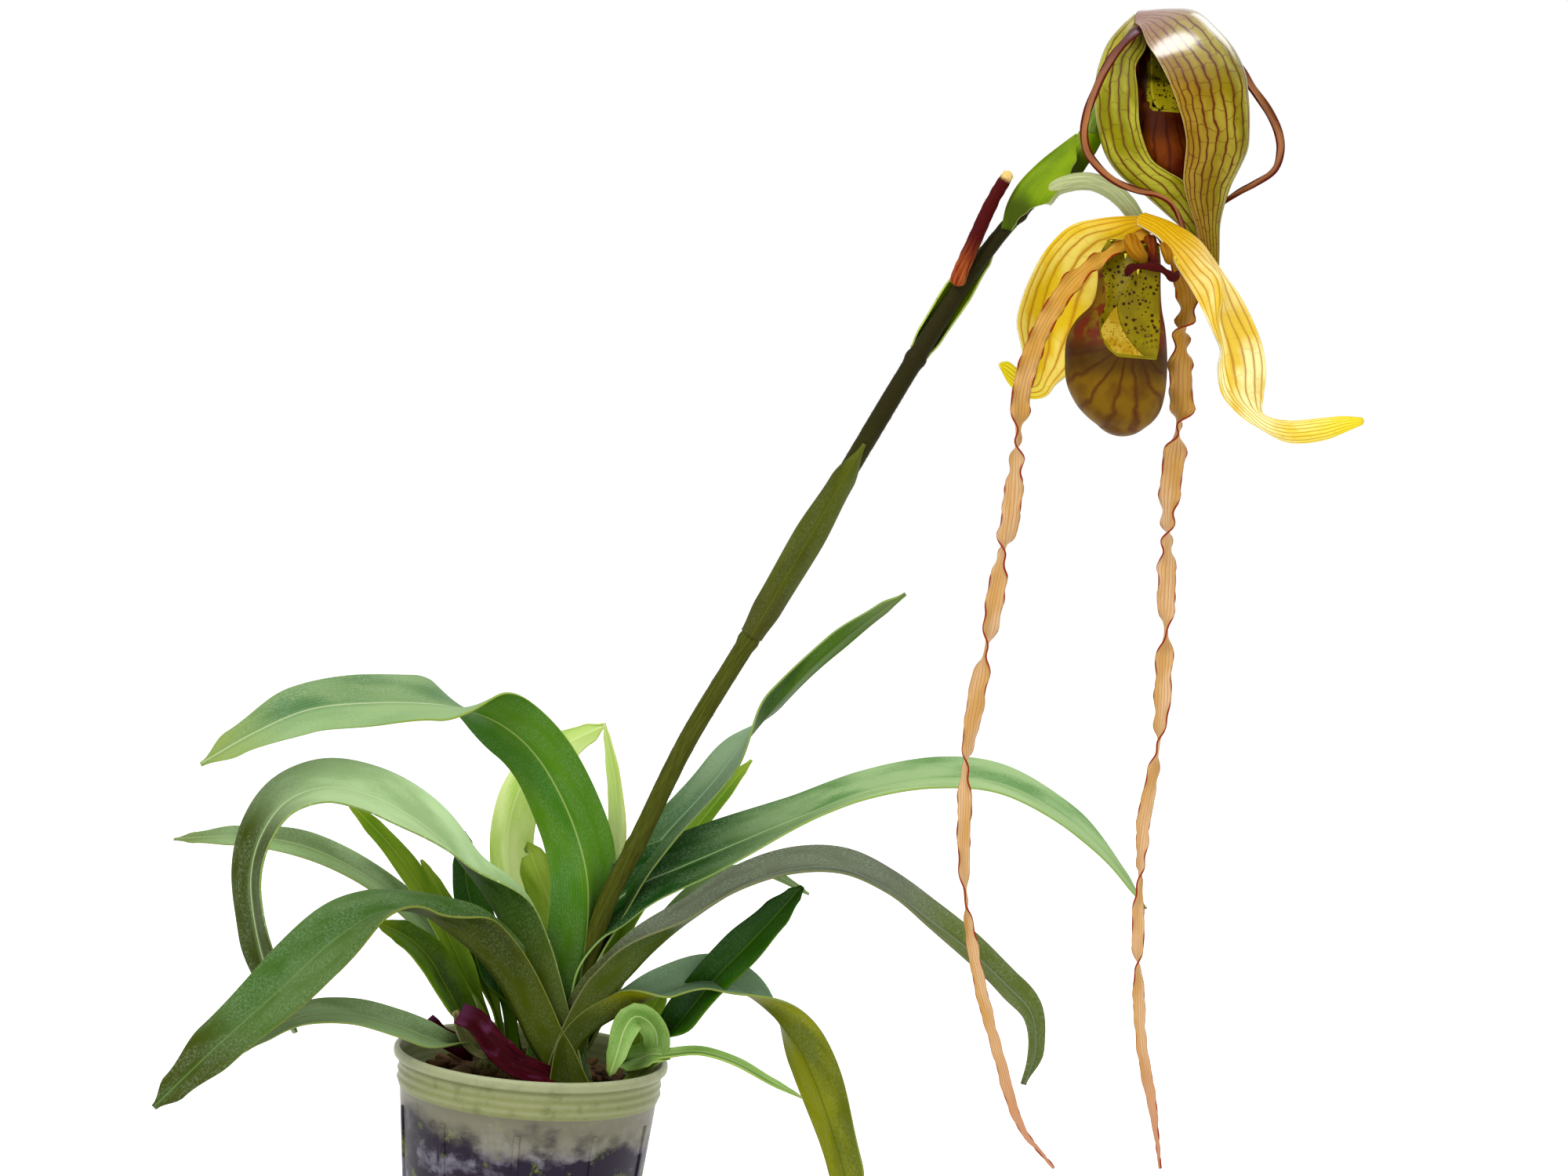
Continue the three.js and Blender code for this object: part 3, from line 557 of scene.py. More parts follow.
@dataclass(frozen=True)
class Stalk:
    """Round stem along a line, with an uneven skin and swollen rings at (place, extra radius)."""

    points: Points
    radius: Keys
    sides: int = 20
    pace: float = 2.0
    bumps: float = 0.12
    nodes: tuple[tuple[float, float], ...] = ()

    def mesh(self) -> Mesh:
        """Closed mesh of the stem, in metres.

        Returns:
            The mesh.
        """
        line = Line(self.points)
        rows = max(10, round(line.length / self.pace))
        bearings = [Bearing.on(line, i / rows, Side.LEFT, 0.0) for i in range(rows + 1)]

        def place(across: float, along: float) -> Vector:
            """Point of the skin.

            Args:
                across: Place round, 0 to 1.
                along: Place along, 0 to 1.

            Returns:
                The point, in millimetres.
            """
            angle = math.tau * across
            end = min(along, 1.0 - along) * line.length
            radius = keyed(self.radius, along)
            for spot, extra in self.nodes:
                radius += extra * math.exp(-(((along - spot) * line.length / 2.2) ** 2))
            radius *= math.sqrt(smooth(-0.4, 1.6, end))
            seat = Vector((2.2 * math.cos(angle), 2.2 * math.sin(angle), along * line.length / 3))
            radius += self.bumps * noise.noise(seat)
            return bearings[round(along * rows)].move(
                radius * math.cos(angle), radius * math.sin(angle))

        def span(across: float, along: float) -> tuple[float, float]:
            """Distances round and along."""
            return (across - 0.5) * math.tau * keyed(self.radius, along), along * line.length

        mesh = sheet(self.sides, rows, place, span)
        bmesh.ops.remove_doubles(mesh, verts=mesh.verts, dist=WELD)
        ends = [edge for edge in mesh.edges if edge.is_boundary]
        bmesh.ops.holes_fill(mesh, edges=ends, sides=0)
        bmesh.ops.recalc_face_normals(mesh, faces=mesh.faces)
        return mesh

    def hairs(self, count: int, length: float, seed: int) -> Mesh:
        """Short hairs that stand out of the stem.

        Args:
            count: Number of hairs.
            length: Their length, in millimetres.
            seed: Seed of their places.

        Returns:
            Mesh of three-sided hairs.
        """
        draw = random.Random(seed)
        line = Line(self.points)
        mesh = bmesh.new()
        for _ in range(count):
            place = draw.uniform(0.01, 0.99)
            bearing = Bearing.on(line, place, Side.LEFT, 0.0)
            angle = draw.uniform(0.0, math.tau)
            out = bearing.across * math.cos(angle) + bearing.upper * math.sin(angle)
            root = bearing.point + out * (keyed(self.radius, place) - 0.15)
            out = (out + bearing.along * draw.uniform(-0.5, 0.3)).normalized()
            middle = Matrix.Translation((root + out * (0.5 * length)) * MM)
            turn = out.to_track_quat("Z", "Y").to_matrix().to_4x4()
            bmesh.ops.create_cone(mesh, cap_ends=True, segments=3, radius1=0.07 * MM,
                                  radius2=0.015 * MM, depth=length * MM, matrix=middle @ turn)
        return mesh


# ---- shader building


def tint(code: str) -> Colour:
    """Surface colour that looks like a code under the studio's lamps.

    Args:
        code: The sRGB code, such as 8fa060.

    Returns:
        The colour, linear.
    """
    shares = [int(code[i:i + 2], 16) / 255.0 for i in (0, 2, 4)]
    linear = [s / 12.92 if s <= 0.04045 else ((s + 0.055) / 1.055) ** 2.4 for s in shares]
    red, green, blue = [max(0.0, value - HAZE) / LAMP_GAIN for value in linear]
    return red, green, blue, 1.0


def operator(operation: str, mirrored: bool = False) -> Callable[["Wire", Value], "Wire"]:
    """Makes a method of a wire that adds a Math node.

    Args:
        operation: The node's operation.
        mirrored: Whether the wire is the second value.

    Returns:
        The method.
    """

    def method(wire: "Wire", other: Value) -> "Wire":
        """The node's output for the wire and another value."""
        return wire.maths(operation, *((other, wire) if mirrored else (wire, other)))

    return method


@dataclass(frozen=True)
class Wire:
    """Output socket of a node, with arithmetic that adds Math nodes.

    Its angle is the one whose tangent is this value over another, and most the larger of two.
    """

    board: "Board"
    socket: bpy.types.NodeSocket

    __add__, __radd__ = operator("ADD"), operator("ADD", True)
    __sub__, __rsub__ = operator("SUBTRACT"), operator("SUBTRACT", True)
    __mul__, __rmul__ = operator("MULTIPLY"), operator("MULTIPLY", True)
    __truediv__, angle, most = operator("DIVIDE"), operator("ARCTAN2"), operator("MAXIMUM")

    def maths(self, operation: str, *values: Value) -> "Wire":
        """Math node of an operation on some values."""
        return self.board.node("ShaderNodeMath", {"operation": operation}, dict(enumerate(values)))

    def __abs__(self) -> "Wire":
        """Size of the value."""
        return self.maths("ABSOLUTE", self)

    def sine(self) -> "Wire":
        """Sine of the value, in radians."""
        return self.maths("SINE", self)

    def over(self, low: float, high: float) -> "Wire":
        """Eased step from 0 at low to 1 at high."""
        return self.board.node("ShaderNodeMapRange", {"interpolation_type": "SMOOTHSTEP"},
                               {"Value": self, "From Min": low, "From Max": high})

    def under(self, low: float, high: float) -> "Wire":
        """Eased step from 1 at low to 0 at high."""
        return 1.0 - self.over(low, high)


class Board:
    """Node tree of one material."""

    def __init__(self, name: str) -> None:
        """Makes an empty material.

        Args:
            name: Name of the material.
        """
        material = bpy.data.materials.new(name)
        material.use_nodes = True
        self.tree = material.node_tree
        self.tree.nodes.clear()

    @staticmethod
    def _pick(sockets: Any, key: Union[int, str]) -> bpy.types.NodeSocket:
        """Socket of a number, an identifier or a name.

        Args:
            sockets: Inputs or outputs of a node.
            key: The number, identifier or name.

        Returns:
            The socket.
        """
        if isinstance(key, int):
            return sockets[key]
        found = [s for s in sockets if s.identifier == key]
        return found[0] if found else sockets[key]

    def node(self, kind: str, settings: Mapping[str, Any], values: Mapping[Any, Value],
             output: Union[int, str] = 0) -> Wire:
        """Adds a node.

        Args:
            kind: Type of the node.
            settings: Its settings, set before its sockets.
            values: Values or links of its sockets, by number, identifier or name.
            output: Which output is returned.

        Returns:
            The chosen output.
        """
        made = self.tree.nodes.new(kind)
        for key, setting in settings.items():
            setattr(made, key, setting)
        for key, value in values.items():
            socket = self._pick(made.inputs, key)
            if isinstance(value, Wire):
                self.tree.links.new(value.socket, socket)
            else:
                socket.default_value = value
        return Wire(self, self._pick(made.outputs, output))

    def parts(self, vector: Wire) -> tuple[Wire, Wire, Wire]:
        """The three numbers of a vector.

        Args:
            vector: The vector.

        Returns:
            Its X, Y and Z.
        """
        split = self.node("ShaderNodeSeparateXYZ", {}, {0: vector})
        outputs = split.socket.node.outputs
        return Wire(self, outputs[0]), Wire(self, outputs[1]), Wire(self, outputs[2])

    def vector(self, x: Value, y: Value, z: Value = 0.0) -> Wire:
        """Vector of three numbers."""
        return self.node("ShaderNodeCombineXYZ", {}, {0: x, 1: y, 2: z})

    def blade(self) -> Sequence[Wire]:
        """Place across and along a piece, each from 0 to 1."""
        return self.parts(self.node("ShaderNodeUVMap", {"uv_map": "blade"}, {}))[:2]

    def margin(self, low: float) -> Wire:
        """Mask of both margins of a piece, from a share of the half width outwards."""
        across, _ = self.blade()
        return abs(across * 2.0 - 1.0).over(low, 1.0)

    def span(self) -> tuple[Wire, Wire]:
        """Distance across and along a piece, in millimetres."""
        x, y, _ = self.parts(self.node("ShaderNodeUVMap", {"uv_map": "span"}, {}))
        return (x - 0.5) * SPAN_ACROSS, y * SPAN_ALONG

    def seat(self) -> tuple[Wire, Wire, Wire]:
        """Place on the object, in millimetres."""
        x, y, z = self.parts(self.node("ShaderNodeTexCoord", {}, {}, "Object"))
        return x / MM, y / MM, z / MM

    def cloud(self, x: Value, y: Value, z: Value = 0.0, detail: float = 2.0,
              rough: float = 0.5) -> Wire:
        """Noise from 0 to 1 at three numbers, with finer layers by detail and rough."""
        return self.node("ShaderNodeTexNoise", {}, {
            "Vector": self.vector(x, y, z), "Scale": 1.0, "Detail": detail, "Roughness": rough})

    def dots(self, x: Value, y: Value, z: Value, size: float, share: float) -> Wire:
        """Mask of scattered dots, one at most in each cell of size 1.

        Args:
            x: First number.
            y: Second number.
            z: Third number.
            size: Radius of a dot, in cells.
            share: Share of the cells that have one.

        Returns:
            The mask.
        """
        cell = self.node("ShaderNodeTexVoronoi", {}, {"Vector": self.vector(x, y, z), "Scale": 1.0})
        outputs = cell.socket.node.outputs
        lot, _, _ = self.parts(Wire(self, outputs["Color"]))
        near = Wire(self, outputs["Distance"]).under(0.7 * size, 1.2 * size)
        return near * lot.under(share - 0.02, share + 0.02)

    def mix(self, share: Value, first: Value, second: Value) -> Wire:
        """Mix of two colours by the share of the second."""
        return self.node("ShaderNodeMix", {"data_type": "RGBA"}, {
            "Factor_Float": share, "A_Color": first, "B_Color": second}, "Result_Color")

    def lay(self, colour: Value, *coats: tuple[Value, Colour]) -> Value:
        """Lays colours over one another.

        Args:
            colour: The lowest.
            coats: The mask and colour of each that lies over it, in order.

        Returns:
            The mixed colour.
        """
        for mask, coat in coats:
            colour = self.mix(mask, colour, coat)
        return colour

    def bump(self, height: Wire, depth: float, strength: float = 1.0) -> Wire:
        """Normal of a height map whose height of 1 stands for a depth in millimetres."""
        return self.node("ShaderNodeBump", {}, {
            "Height": height, "Distance": depth * MM, "Strength": strength})

    def finish(self, values: Mapping[str, Value]) -> None:
        """Ends the tree in a Principled shader.

        Args:
            values: Values or links of its sockets.
        """
        shader = self.node("ShaderNodeBsdfPrincipled", {}, {
            "Specular IOR Level": FAINT_GLOSS, **values})
        out = self.tree.nodes.new("ShaderNodeOutputMaterial")
        self.tree.links.new(shader.socket, out.inputs["Surface"])


# ---- finishes


@dataclass(frozen=True)
class Skin:
    """A finish of the plant, made once: its name and its colours as sRGB codes, in order."""

    name: str
    codes: str

    def material(self) -> Finish:
        """The finish as a material."""
        if self.name not in bpy.data.materials:
            self.paint()
        return bpy.data.materials[self.name]

    def tints(self) -> list[Colour]:
        """The colours as a shader takes them."""
        return [tint(code) for code in self.codes.split()]

    def paint(self) -> None:
        """Builds the finish."""
        raise NotImplementedError


@dataclass(frozen=True)
class LeafSkin(Skin):
    """One face of a strap leaf, with its deep, pale, base, tip, rib and edge colours.

    half is the tone of one half, and halved how much it shows, below 0 for the other half. That
    tone is painted light and shade: lighter on a half that the fold turns up to the lamps, darker
    on one that it turns away. The base colour ends at reach and the tip's starts at tail, as shares
    of the length. Its bloom is partly painted sheen.
    """

    half: str = "203008"
    painted_half_shading: float = 0.0
    # How much bloom and specks the upper face has; they also stand in for painted sheen.
    dust: float = 0.0
    gloss: float = 0.46
    reach: float = 0.3
    tail: float = 0.86

    def paint(self) -> None:
        """Soft greens, painted light and shade on one half and by the midrib, bloom that is partly
        painted sheen, and specks.
        """
        board = Board(self.name)
        deep, pale, base, tip, rib, edge = self.tints()
        across, place = board.blade()
        x, y = board.span()
        drift = board.cloud(x * 0.08, y * 0.022, 3.0, detail=3.0)
        grain = board.cloud(x * 1.5, y * 0.8, detail=4.0, rough=0.7)
        veins = (x * 5.5 + drift * 3.0).sine() * 0.5 + 0.5
        # painted light and shade: one half's tone, lighter where the fold turns it up to the lamps,
        # darker where it turns away
        other = across.under(0.44, 0.56) if self.painted_half_shading > 0.0 else across.over(0.44, 0.56)
        # mask of the bloom, partly real and partly painted sheen on the upper face
        powder_and_sheen = grain.over(0.4, 0.68) * board.cloud(x * 0.2, y * 0.06, 9.0).over(0.3, 0.6)
        colour = board.lay(
            deep,
            ((drift * 0.85 + grain * 0.15).over(0.37, 0.61), pale),
            # painted light and shade on one half
            (other * abs(self.painted_half_shading), tint(self.half)),
            (veins * 0.07, rib),
            ((place + (drift - 0.5) * 0.1).under(0.5 * self.reach, self.reach), base),
            (place.over(self.tail, self.tail + 0.14), tip),
            (powder_and_sheen * self.dust, tint(BLOOM_AND_SHEEN_CODE)),
            # painted shade in the groove on both sides of the midrib
            (abs(x).under(0.7, 2.6) * 0.22, deep),
            (abs(x).under(0.1, 0.6) * 0.6, rib),
            (board.margin(0.93) * 0.6, edge),
            (board.dots(x * 0.8, y * 0.8, 1.0, 0.13, 0.16) * powder_and_sheen * self.dust, tint(DUST_CODE)))
        board.finish({
            "Base Color": colour, "Roughness": self.gloss + powder_and_sheen * (0.4 * self.dust),
            "Normal": board.bump(veins * 0.3 + grain * 0.35, 0.1, 0.5)})


@dataclass(frozen=True)
class EdgeSkin(Skin):
    """Cut edge of a leaf, petal or sepal: its colour and that of its spots."""

    def paint(self) -> None:
        """Colour with soft spots along the edge."""
        board = Board(self.name)
        ground, spots = self.tints()
        _, y = board.span()
        share = board.cloud(y * 0.4, 0.0, detail=3.0).over(0.5, 0.75)
        board.finish({"Base Color": board.mix(share, ground, spots), "Roughness": 0.5})


@dataclass(frozen=True)
class SepalSkin(Skin):
    """Sepal, with its ground, patch, vein, edge, throat and tip colours.

    It has count veins, which wobble, and rungs between them every links millimetres. The throat
    ends at reach, the tip starts at tail, and the flank colour lies near the first margin. glow
    is painted light: an emission that stands in for lamp light shining through the thin sepal.
    """

    count: float = 9.0
    links: float = 9.0
    rungs: float = 0.3
    wobble: float = 0.5
    strength: float = 0.6
    reach: float = 0.25
    tail: float = 0.75
    gloss: float = 0.38
    coat: float = 0.0
    painted_glow: float = 0.0
    flank: str = "ffffff"
    flanked: float = 0.0

    def paint(self) -> None:
        """Ground with long veins, links between them, margins, ends and a glow of painted light."""
        board = Board(self.name)
        ground, light, vein, edge, throat, tip = self.tints()
        across, place = board.blade()
        x, y = board.span()
        sway = board.cloud(x * 0.16, y * 0.09) - 0.5
        patch = board.cloud(x * 0.13, y * 0.045, 5.0, detail=3.0)
        count = across * self.count + sway * self.wobble
        main = abs((count * math.pi).sine())
        lot = (count.maths("FLOOR", count) * 12.9).sine() * 7.0
        rungs = abs(((y / self.links + lot + sway * 1.6) * math.pi).sine()).under(0.02, 0.16)
        veins = main.under(0.05, 0.5).most(rungs * self.rungs) * (0.55 + patch * 0.7)
        halo = main.under(0.3, 0.9) * 0.25
        colour = board.lay(
            ground,
            (patch.over(0.38, 0.62), light),
            (place.over(self.tail, 1.0), tip),
            ((across + sway * 0.2).under(0.1, 0.6) * self.flanked, tint(self.flank)),
            ((place + sway * 0.2).under(0.15 * self.reach, self.reach), throat),
            ((veins + halo) * self.strength, vein),
            (board.margin(0.93) * 0.75, edge))
        board.finish({
            "Base Color": colour, "Roughness": self.gloss + patch * 0.12,
            "Normal": board.bump(main * 0.5 + patch * 0.5, 0.22, 0.7),
            "Coat Weight": (place + sway * 0.1).under(0.24, 0.46) * self.coat,
            "Coat Roughness": 0.22, "Coat IOR": 1.5 + 0.4 * self.coat,
            # painted light: the glow stands in for light shining through the sepal
            "Emission Color": colour, "Emission Strength": self.painted_glow})


@dataclass(frozen=True)
class RibbonSkin(Skin):
    """Long twisted petal, with its ground, patch, vein, edge, throat and tip colours.

    The throat's colour ends at flush, and spec is the strength of the reflections.
    """

    flush: float = 0.3
    gloss: float = 0.45
    spec: float = 0.2

    def paint(self) -> None:
        """Close long veins, blotchy margins, darker at the base and redder at the tip."""
        board = Board(self.name)
        ground, light, vein, edge, throat, tip = self.tints()
        across, place = board.blade()
        x, y = board.span()
        sway = board.cloud(x * 0.3, y * 0.05) - 0.5
        patch = board.cloud(x * 0.2, y * 0.04, 2.0, detail=3.0)
        lines = abs((across * 22.0 + sway * 2.0).sine()).under(0.05, 0.55)
        rim = abs(across * 2.0 - 1.0) + (board.cloud(y * 0.35, x * 0.2, detail=3.0) - 0.5) * 0.4
        colour = board.lay(
            ground,
            (patch.over(0.35, 0.65), light),
            (place.over(0.82, 1.0) * 0.8, tip),
            ((place + sway * 0.1).under(0.1 * self.flush, self.flush) * 0.9, throat),
            (lines * (0.2 + patch * 0.6), vein),
            (rim.over(0.78, 0.98) * 0.85, edge))
        board.finish({
            "Base Color": colour, "Roughness": self.gloss + patch * 0.12,
            "Normal": board.bump(lines * 0.5 + patch * 0.5, 0.12, 0.7),
            "Specular IOR Level": self.spec})


@dataclass(frozen=True)
class PouchSkin(Skin):
    """Outside of a pouch, with its toe, body, band, top and vein colours.

    Its veins spread from the X and Z of centre, and lip is the height of its lip. The band is
    painted shade under the lip, and the faint glow is painted light shining through the wall.
    """

    centre: tuple[float, float]
    lip: float
    count: float = 9.0

    def paint(self) -> None:
        """Toe and blotched top, soft spreading veins, painted shade under the lip and a painted glow.
        """
        board = Board(self.name)
        toe, body, band, top, vein = self.tints()
        x, y, z = board.seat()
        sway = board.cloud(x * 0.11, y * 0.11, z * 0.11, detail=3.0) - 0.5
        patch = board.cloud(x * 0.09, y * 0.09, z * 0.09 + 4.0, detail=3.0)
        turn = (z - self.centre[1]).angle(x - self.centre[0])
        lines = abs((turn * self.count + sway * 3.0).sine()).under(0.0, 0.62)
        high = (z + sway * 10.0).over(self.lip - 2.0, self.lip + 7.0)
        blotch = board.cloud(x * 0.16, y * 0.16, z * 0.13 + 8.0).over(0.44, 0.56)
        # painted shade: a dark band under the lip, where the lip shades the pouch
        near = (z + sway * 6.0).over(self.lip - 13.0, self.lip - 3.0)
        colour = board.lay(
            toe,
            (patch.over(0.36, 0.62), body),
            (high * blotch * 0.85, top),
            (lines * (0.25 + patch * 0.75) * (1.0 - high), vein),
            (near * z.under(self.lip + 1.0, self.lip + 7.0) * 0.7, band))
        board.finish({
            "Base Color": colour, "Roughness": 0.42 + patch * 0.12,
            "Normal": board.bump(patch + lines * 0.25, 0.25, 0.5),
            # painted light: a faint glow for light shining through the thin wall
            "Emission Color": colour, "Emission Strength": 0.12})


@dataclass(frozen=True)
class SpotSkin(Skin):
    """Lobe or inside of a pouch, with its ground, patch, lip and spot colours.

    The spots begin between the heights of level. They run together below the first X of dark and
    stand apart above the second. glow is painted light: an emission for lamp light shining
    through the pouch's wall.
    """

    level: tuple[float, float]
    cells: float = 0.42
    share: float = 0.85
    painted_glow: float = 0.0
    dark: tuple[float, float] = (0.0, 1.0)

    def paint(self) -> None:
        """Ground with spots that thin out towards the lip, and a glow of painted light."""
        board = Board(self.name)
        ground, light, lip, spot = self.tints()
        x, y, z = board.seat()
        patch = board.cloud(x * 0.15, y * 0.15, z * 0.15)
        low, high = self.level
        size = self.cells
        large = board.dots(x * size, y * (0.6 * size), z * size, 0.3, self.share)
        small = board.dots(x * (1.5 * size), y * size, z * (1.5 * size), 0.26, 0.5)
        spots = large.most(small) * (z + patch * 8.0).over(high - 12.0, high)
        colour = board.lay(
            ground,
            (patch.over(0.38, 0.62), light),
            (z.under(low - 3.0, low) * 0.8, lip),
            (spots.most((x + patch * 2.0).under(*self.dark)) * 0.95, spot))
        board.finish({
            "Base Color": colour, "Roughness": 0.42, "Normal": board.bump(patch, 0.2, 0.5),
            # painted light: the glow stands in for light shining through the pouch's wall
            "Emission Color": colour, "Emission Strength": self.painted_glow})


@dataclass(frozen=True)
class StemSkin(Skin):
    """Downy or smooth stem, with its dark, light, far end and down colours.

    The far end's colour comes in over turn, and tip is that of the last bit, if it has its own.
    """

    down: float = 0.3
    turn: tuple[float, float] = (0.6, 1.0)
    tip: str = ""

    def paint(self) -> None:
        """Long streaks, a change of colour along it and a fine down."""
        board = Board(self.name)
        dark, light, end, bloom = self.tints()
        _, place = board.blade()
        x, y = board.span()
        streak = board.cloud(x * 1.1, y * 0.09, detail=3.0)
        grain = board.cloud(x * 3.0, y * 2.4, 4.0, detail=3.0, rough=0.7)
        last = [((place + streak * 0.04).over(0.93, 0.98), tint(self.tip))] if self.tip else []
        colour = board.lay(
            dark, (streak.over(0.35, 0.65), light), (place.over(*self.turn), end), *last,
            (grain.over(0.5, 0.72) * self.down, bloom))
        board.finish({
            "Base Color": colour, "Roughness": 0.6,
            "Normal": board.bump(streak * 0.4 + grain * 0.5, 0.12, 0.6)})


@dataclass(frozen=True)
class PaperSkin(Skin):
    """Dry papery sheath, with its dark, light and dry end colours."""

    def paint(self) -> None:
        """Streaks from dark to light and a dry end."""
        board = Board(self.name)
        dark, light, end = self.tints()
        _, place = board.blade()
        x, y = board.span()
        streak = board.cloud(x * 1.6, y * 0.07, detail=4.0, rough=0.6)
        patch = board.cloud(x * 0.2, y * 0.12, 2.0, detail=3.0)
        colour = board.lay(
            dark, (streak.over(0.36, 0.66), light), (patch.over(0.55, 0.75) * 0.7, end),
            (place.over(0.85, 1.0) * 0.7, end), (board.margin(0.9) * 0.5, light))
        board.finish({
            "Base Color": colour, "Roughness": 0.5 + patch * 0.2,
            "Normal": board.bump(streak, 0.35, 0.8)})


@dataclass(frozen=True)
class PotSkin(Skin):
    """Frosted plastic pot with the damp medium showing through its wall.

    Its colours are four of the band, two of the film, and root, shade, algae and haze.
    """

    step: float

    def paint(self) -> None:
        """Pale green band above, blotches of dark bark, grey film and algae below."""
        board = Board(self.name)
        green, pale, moss, lip, murk, film, root, shade, algae, haze = self.tints()
        x, y, z = board.seat()
        large = board.cloud(x * 0.045, y * 0.045, z * 0.06, detail=4.0, rough=0.6)
        middle = board.cloud(x * 0.11, y * 0.11, z * 0.13, detail=4.0, rough=0.65)
        fine = board.cloud(x * 0.5, y * 0.5, z * 0.22, detail=3.0, rough=0.7)
        growth = board.cloud(x * 0.09, y * 0.09, z * 0.1, detail=4.0, rough=0.7)
        hoops = (z * 1.9 + fine * 1.2).sine() * 0.5 + 0.5
        high = (z + (large - 0.5) * 40.0).over(self.step - 18.0, self.step - 4.0)
        band = board.lay(
            green,
            (hoops * 0.35 + fine * 0.3, pale),
            (middle.over(0.5, 0.72) * 0.5, moss),
            (z.over(self.step + 9.0, self.step + 16.0) * 0.4, lip))
        wall = board.lay(
            root,
            (large.over(0.5, 0.62), board.mix(middle.over(0.35, 0.7), murk, film)),
            ((middle * 0.6 + fine * 0.4).over(0.52, 0.66) * 0.7, shade),
            (growth.over(0.56, 0.68) * 0.75, algae),
            (high * 0.75, haze))
        board.finish({
            "Base Color": board.mix(z.over(self.step - 0.6, self.step + 0.4), wall, band),
            "Roughness": 0.3 + fine * 0.2, "Specular IOR Level": 0.14,
            "Normal": board.bump(fine, 0.12, 0.5)})


@dataclass(frozen=True)
class BarkSkin(Skin):
    """Bark of the medium, with its dark, light, chip and moss colours."""

    def paint(self) -> None:
        """Browns in a grain, with lighter chips and a little moss."""
        board = Board(self.name)
        dark, light, chip, moss = self.tints()
        lot, _ = board.blade()
        x, y, z = board.seat()
        grain = board.cloud(x * 0.9, y * 0.5, z * 0.9, detail=4.0, rough=0.7)
        patch = board.cloud(x * 0.12, y * 0.12, z * 0.12, detail=3.0)
        colour = board.lay(
            dark, (grain.over(0.3, 0.7), light), (lot * 0.55, chip),
            (patch.over(0.55, 0.7) * 0.5, moss))
        board.finish({
            "Base Color": colour, "Roughness": 0.88, "Normal": board.bump(grain, 0.6, 0.9)})


@dataclass(frozen=True)
class CrownSkin(Skin):
    """Fibrous base of a growth, with its brown, olive and top colours."""

    def paint(self) -> None:
        """Upright streaks from brown to olive."""
        board = Board(self.name)
        brown, olive, top = self.tints()
        x, y, z = board.seat()
        streak = board.cloud(x * 0.8, y * 0.8, z * 0.06, detail=4.0, rough=0.65)
        colour = board.lay(
            brown, (streak.over(0.35, 0.65), olive), (z.over(88.0, 101.0) * 0.6, top))
        board.finish({
            "Base Color": colour, "Roughness": 0.7, "Normal": board.bump(streak, 0.4, 0.8)})


@dataclass(frozen=True)
class FloorSkin(Skin):
    """Plain pale floor, with no colour codes."""

    def paint(self) -> None:
        """One pale matt colour, lit a little so that no horizon shows."""
        board = Board(self.name)
        board.finish({"Base Color": (0.96, 0.96, 0.96, 1.0), "Roughness": 0.9,
                             "Emission Color": (1.0, 1.0, 1.0, 1.0), "Emission Strength": 0.04})


# ---- blades dressed


@dataclass(frozen=True)
class Dress:
    """Finishes of a blade's upper face, under face and margin."""

    upper: Skin
    under: Skin
    edge: Skin

    def materials(self) -> list[Finish]:
        """The three finishes as materials."""
        return [self.upper.material(), self.under.material(), self.edge.material()]


def set_blade(node: str, slot: str, blade: Union[Blade, Loft],
              dress: Dress) -> None:
    """Builds a blade in place of its solid.

    Args:
        node: The solid.
        slot: Its material slot.
        blade: Shape of the blade.
        dress: Finishes of its faces.
    """
    piece = Piece(f"{node}_surface", slot, (node,)).set_out(blade.sheet(), dress.materials())
    thicken(piece, blade.thickness)


# ---- pot


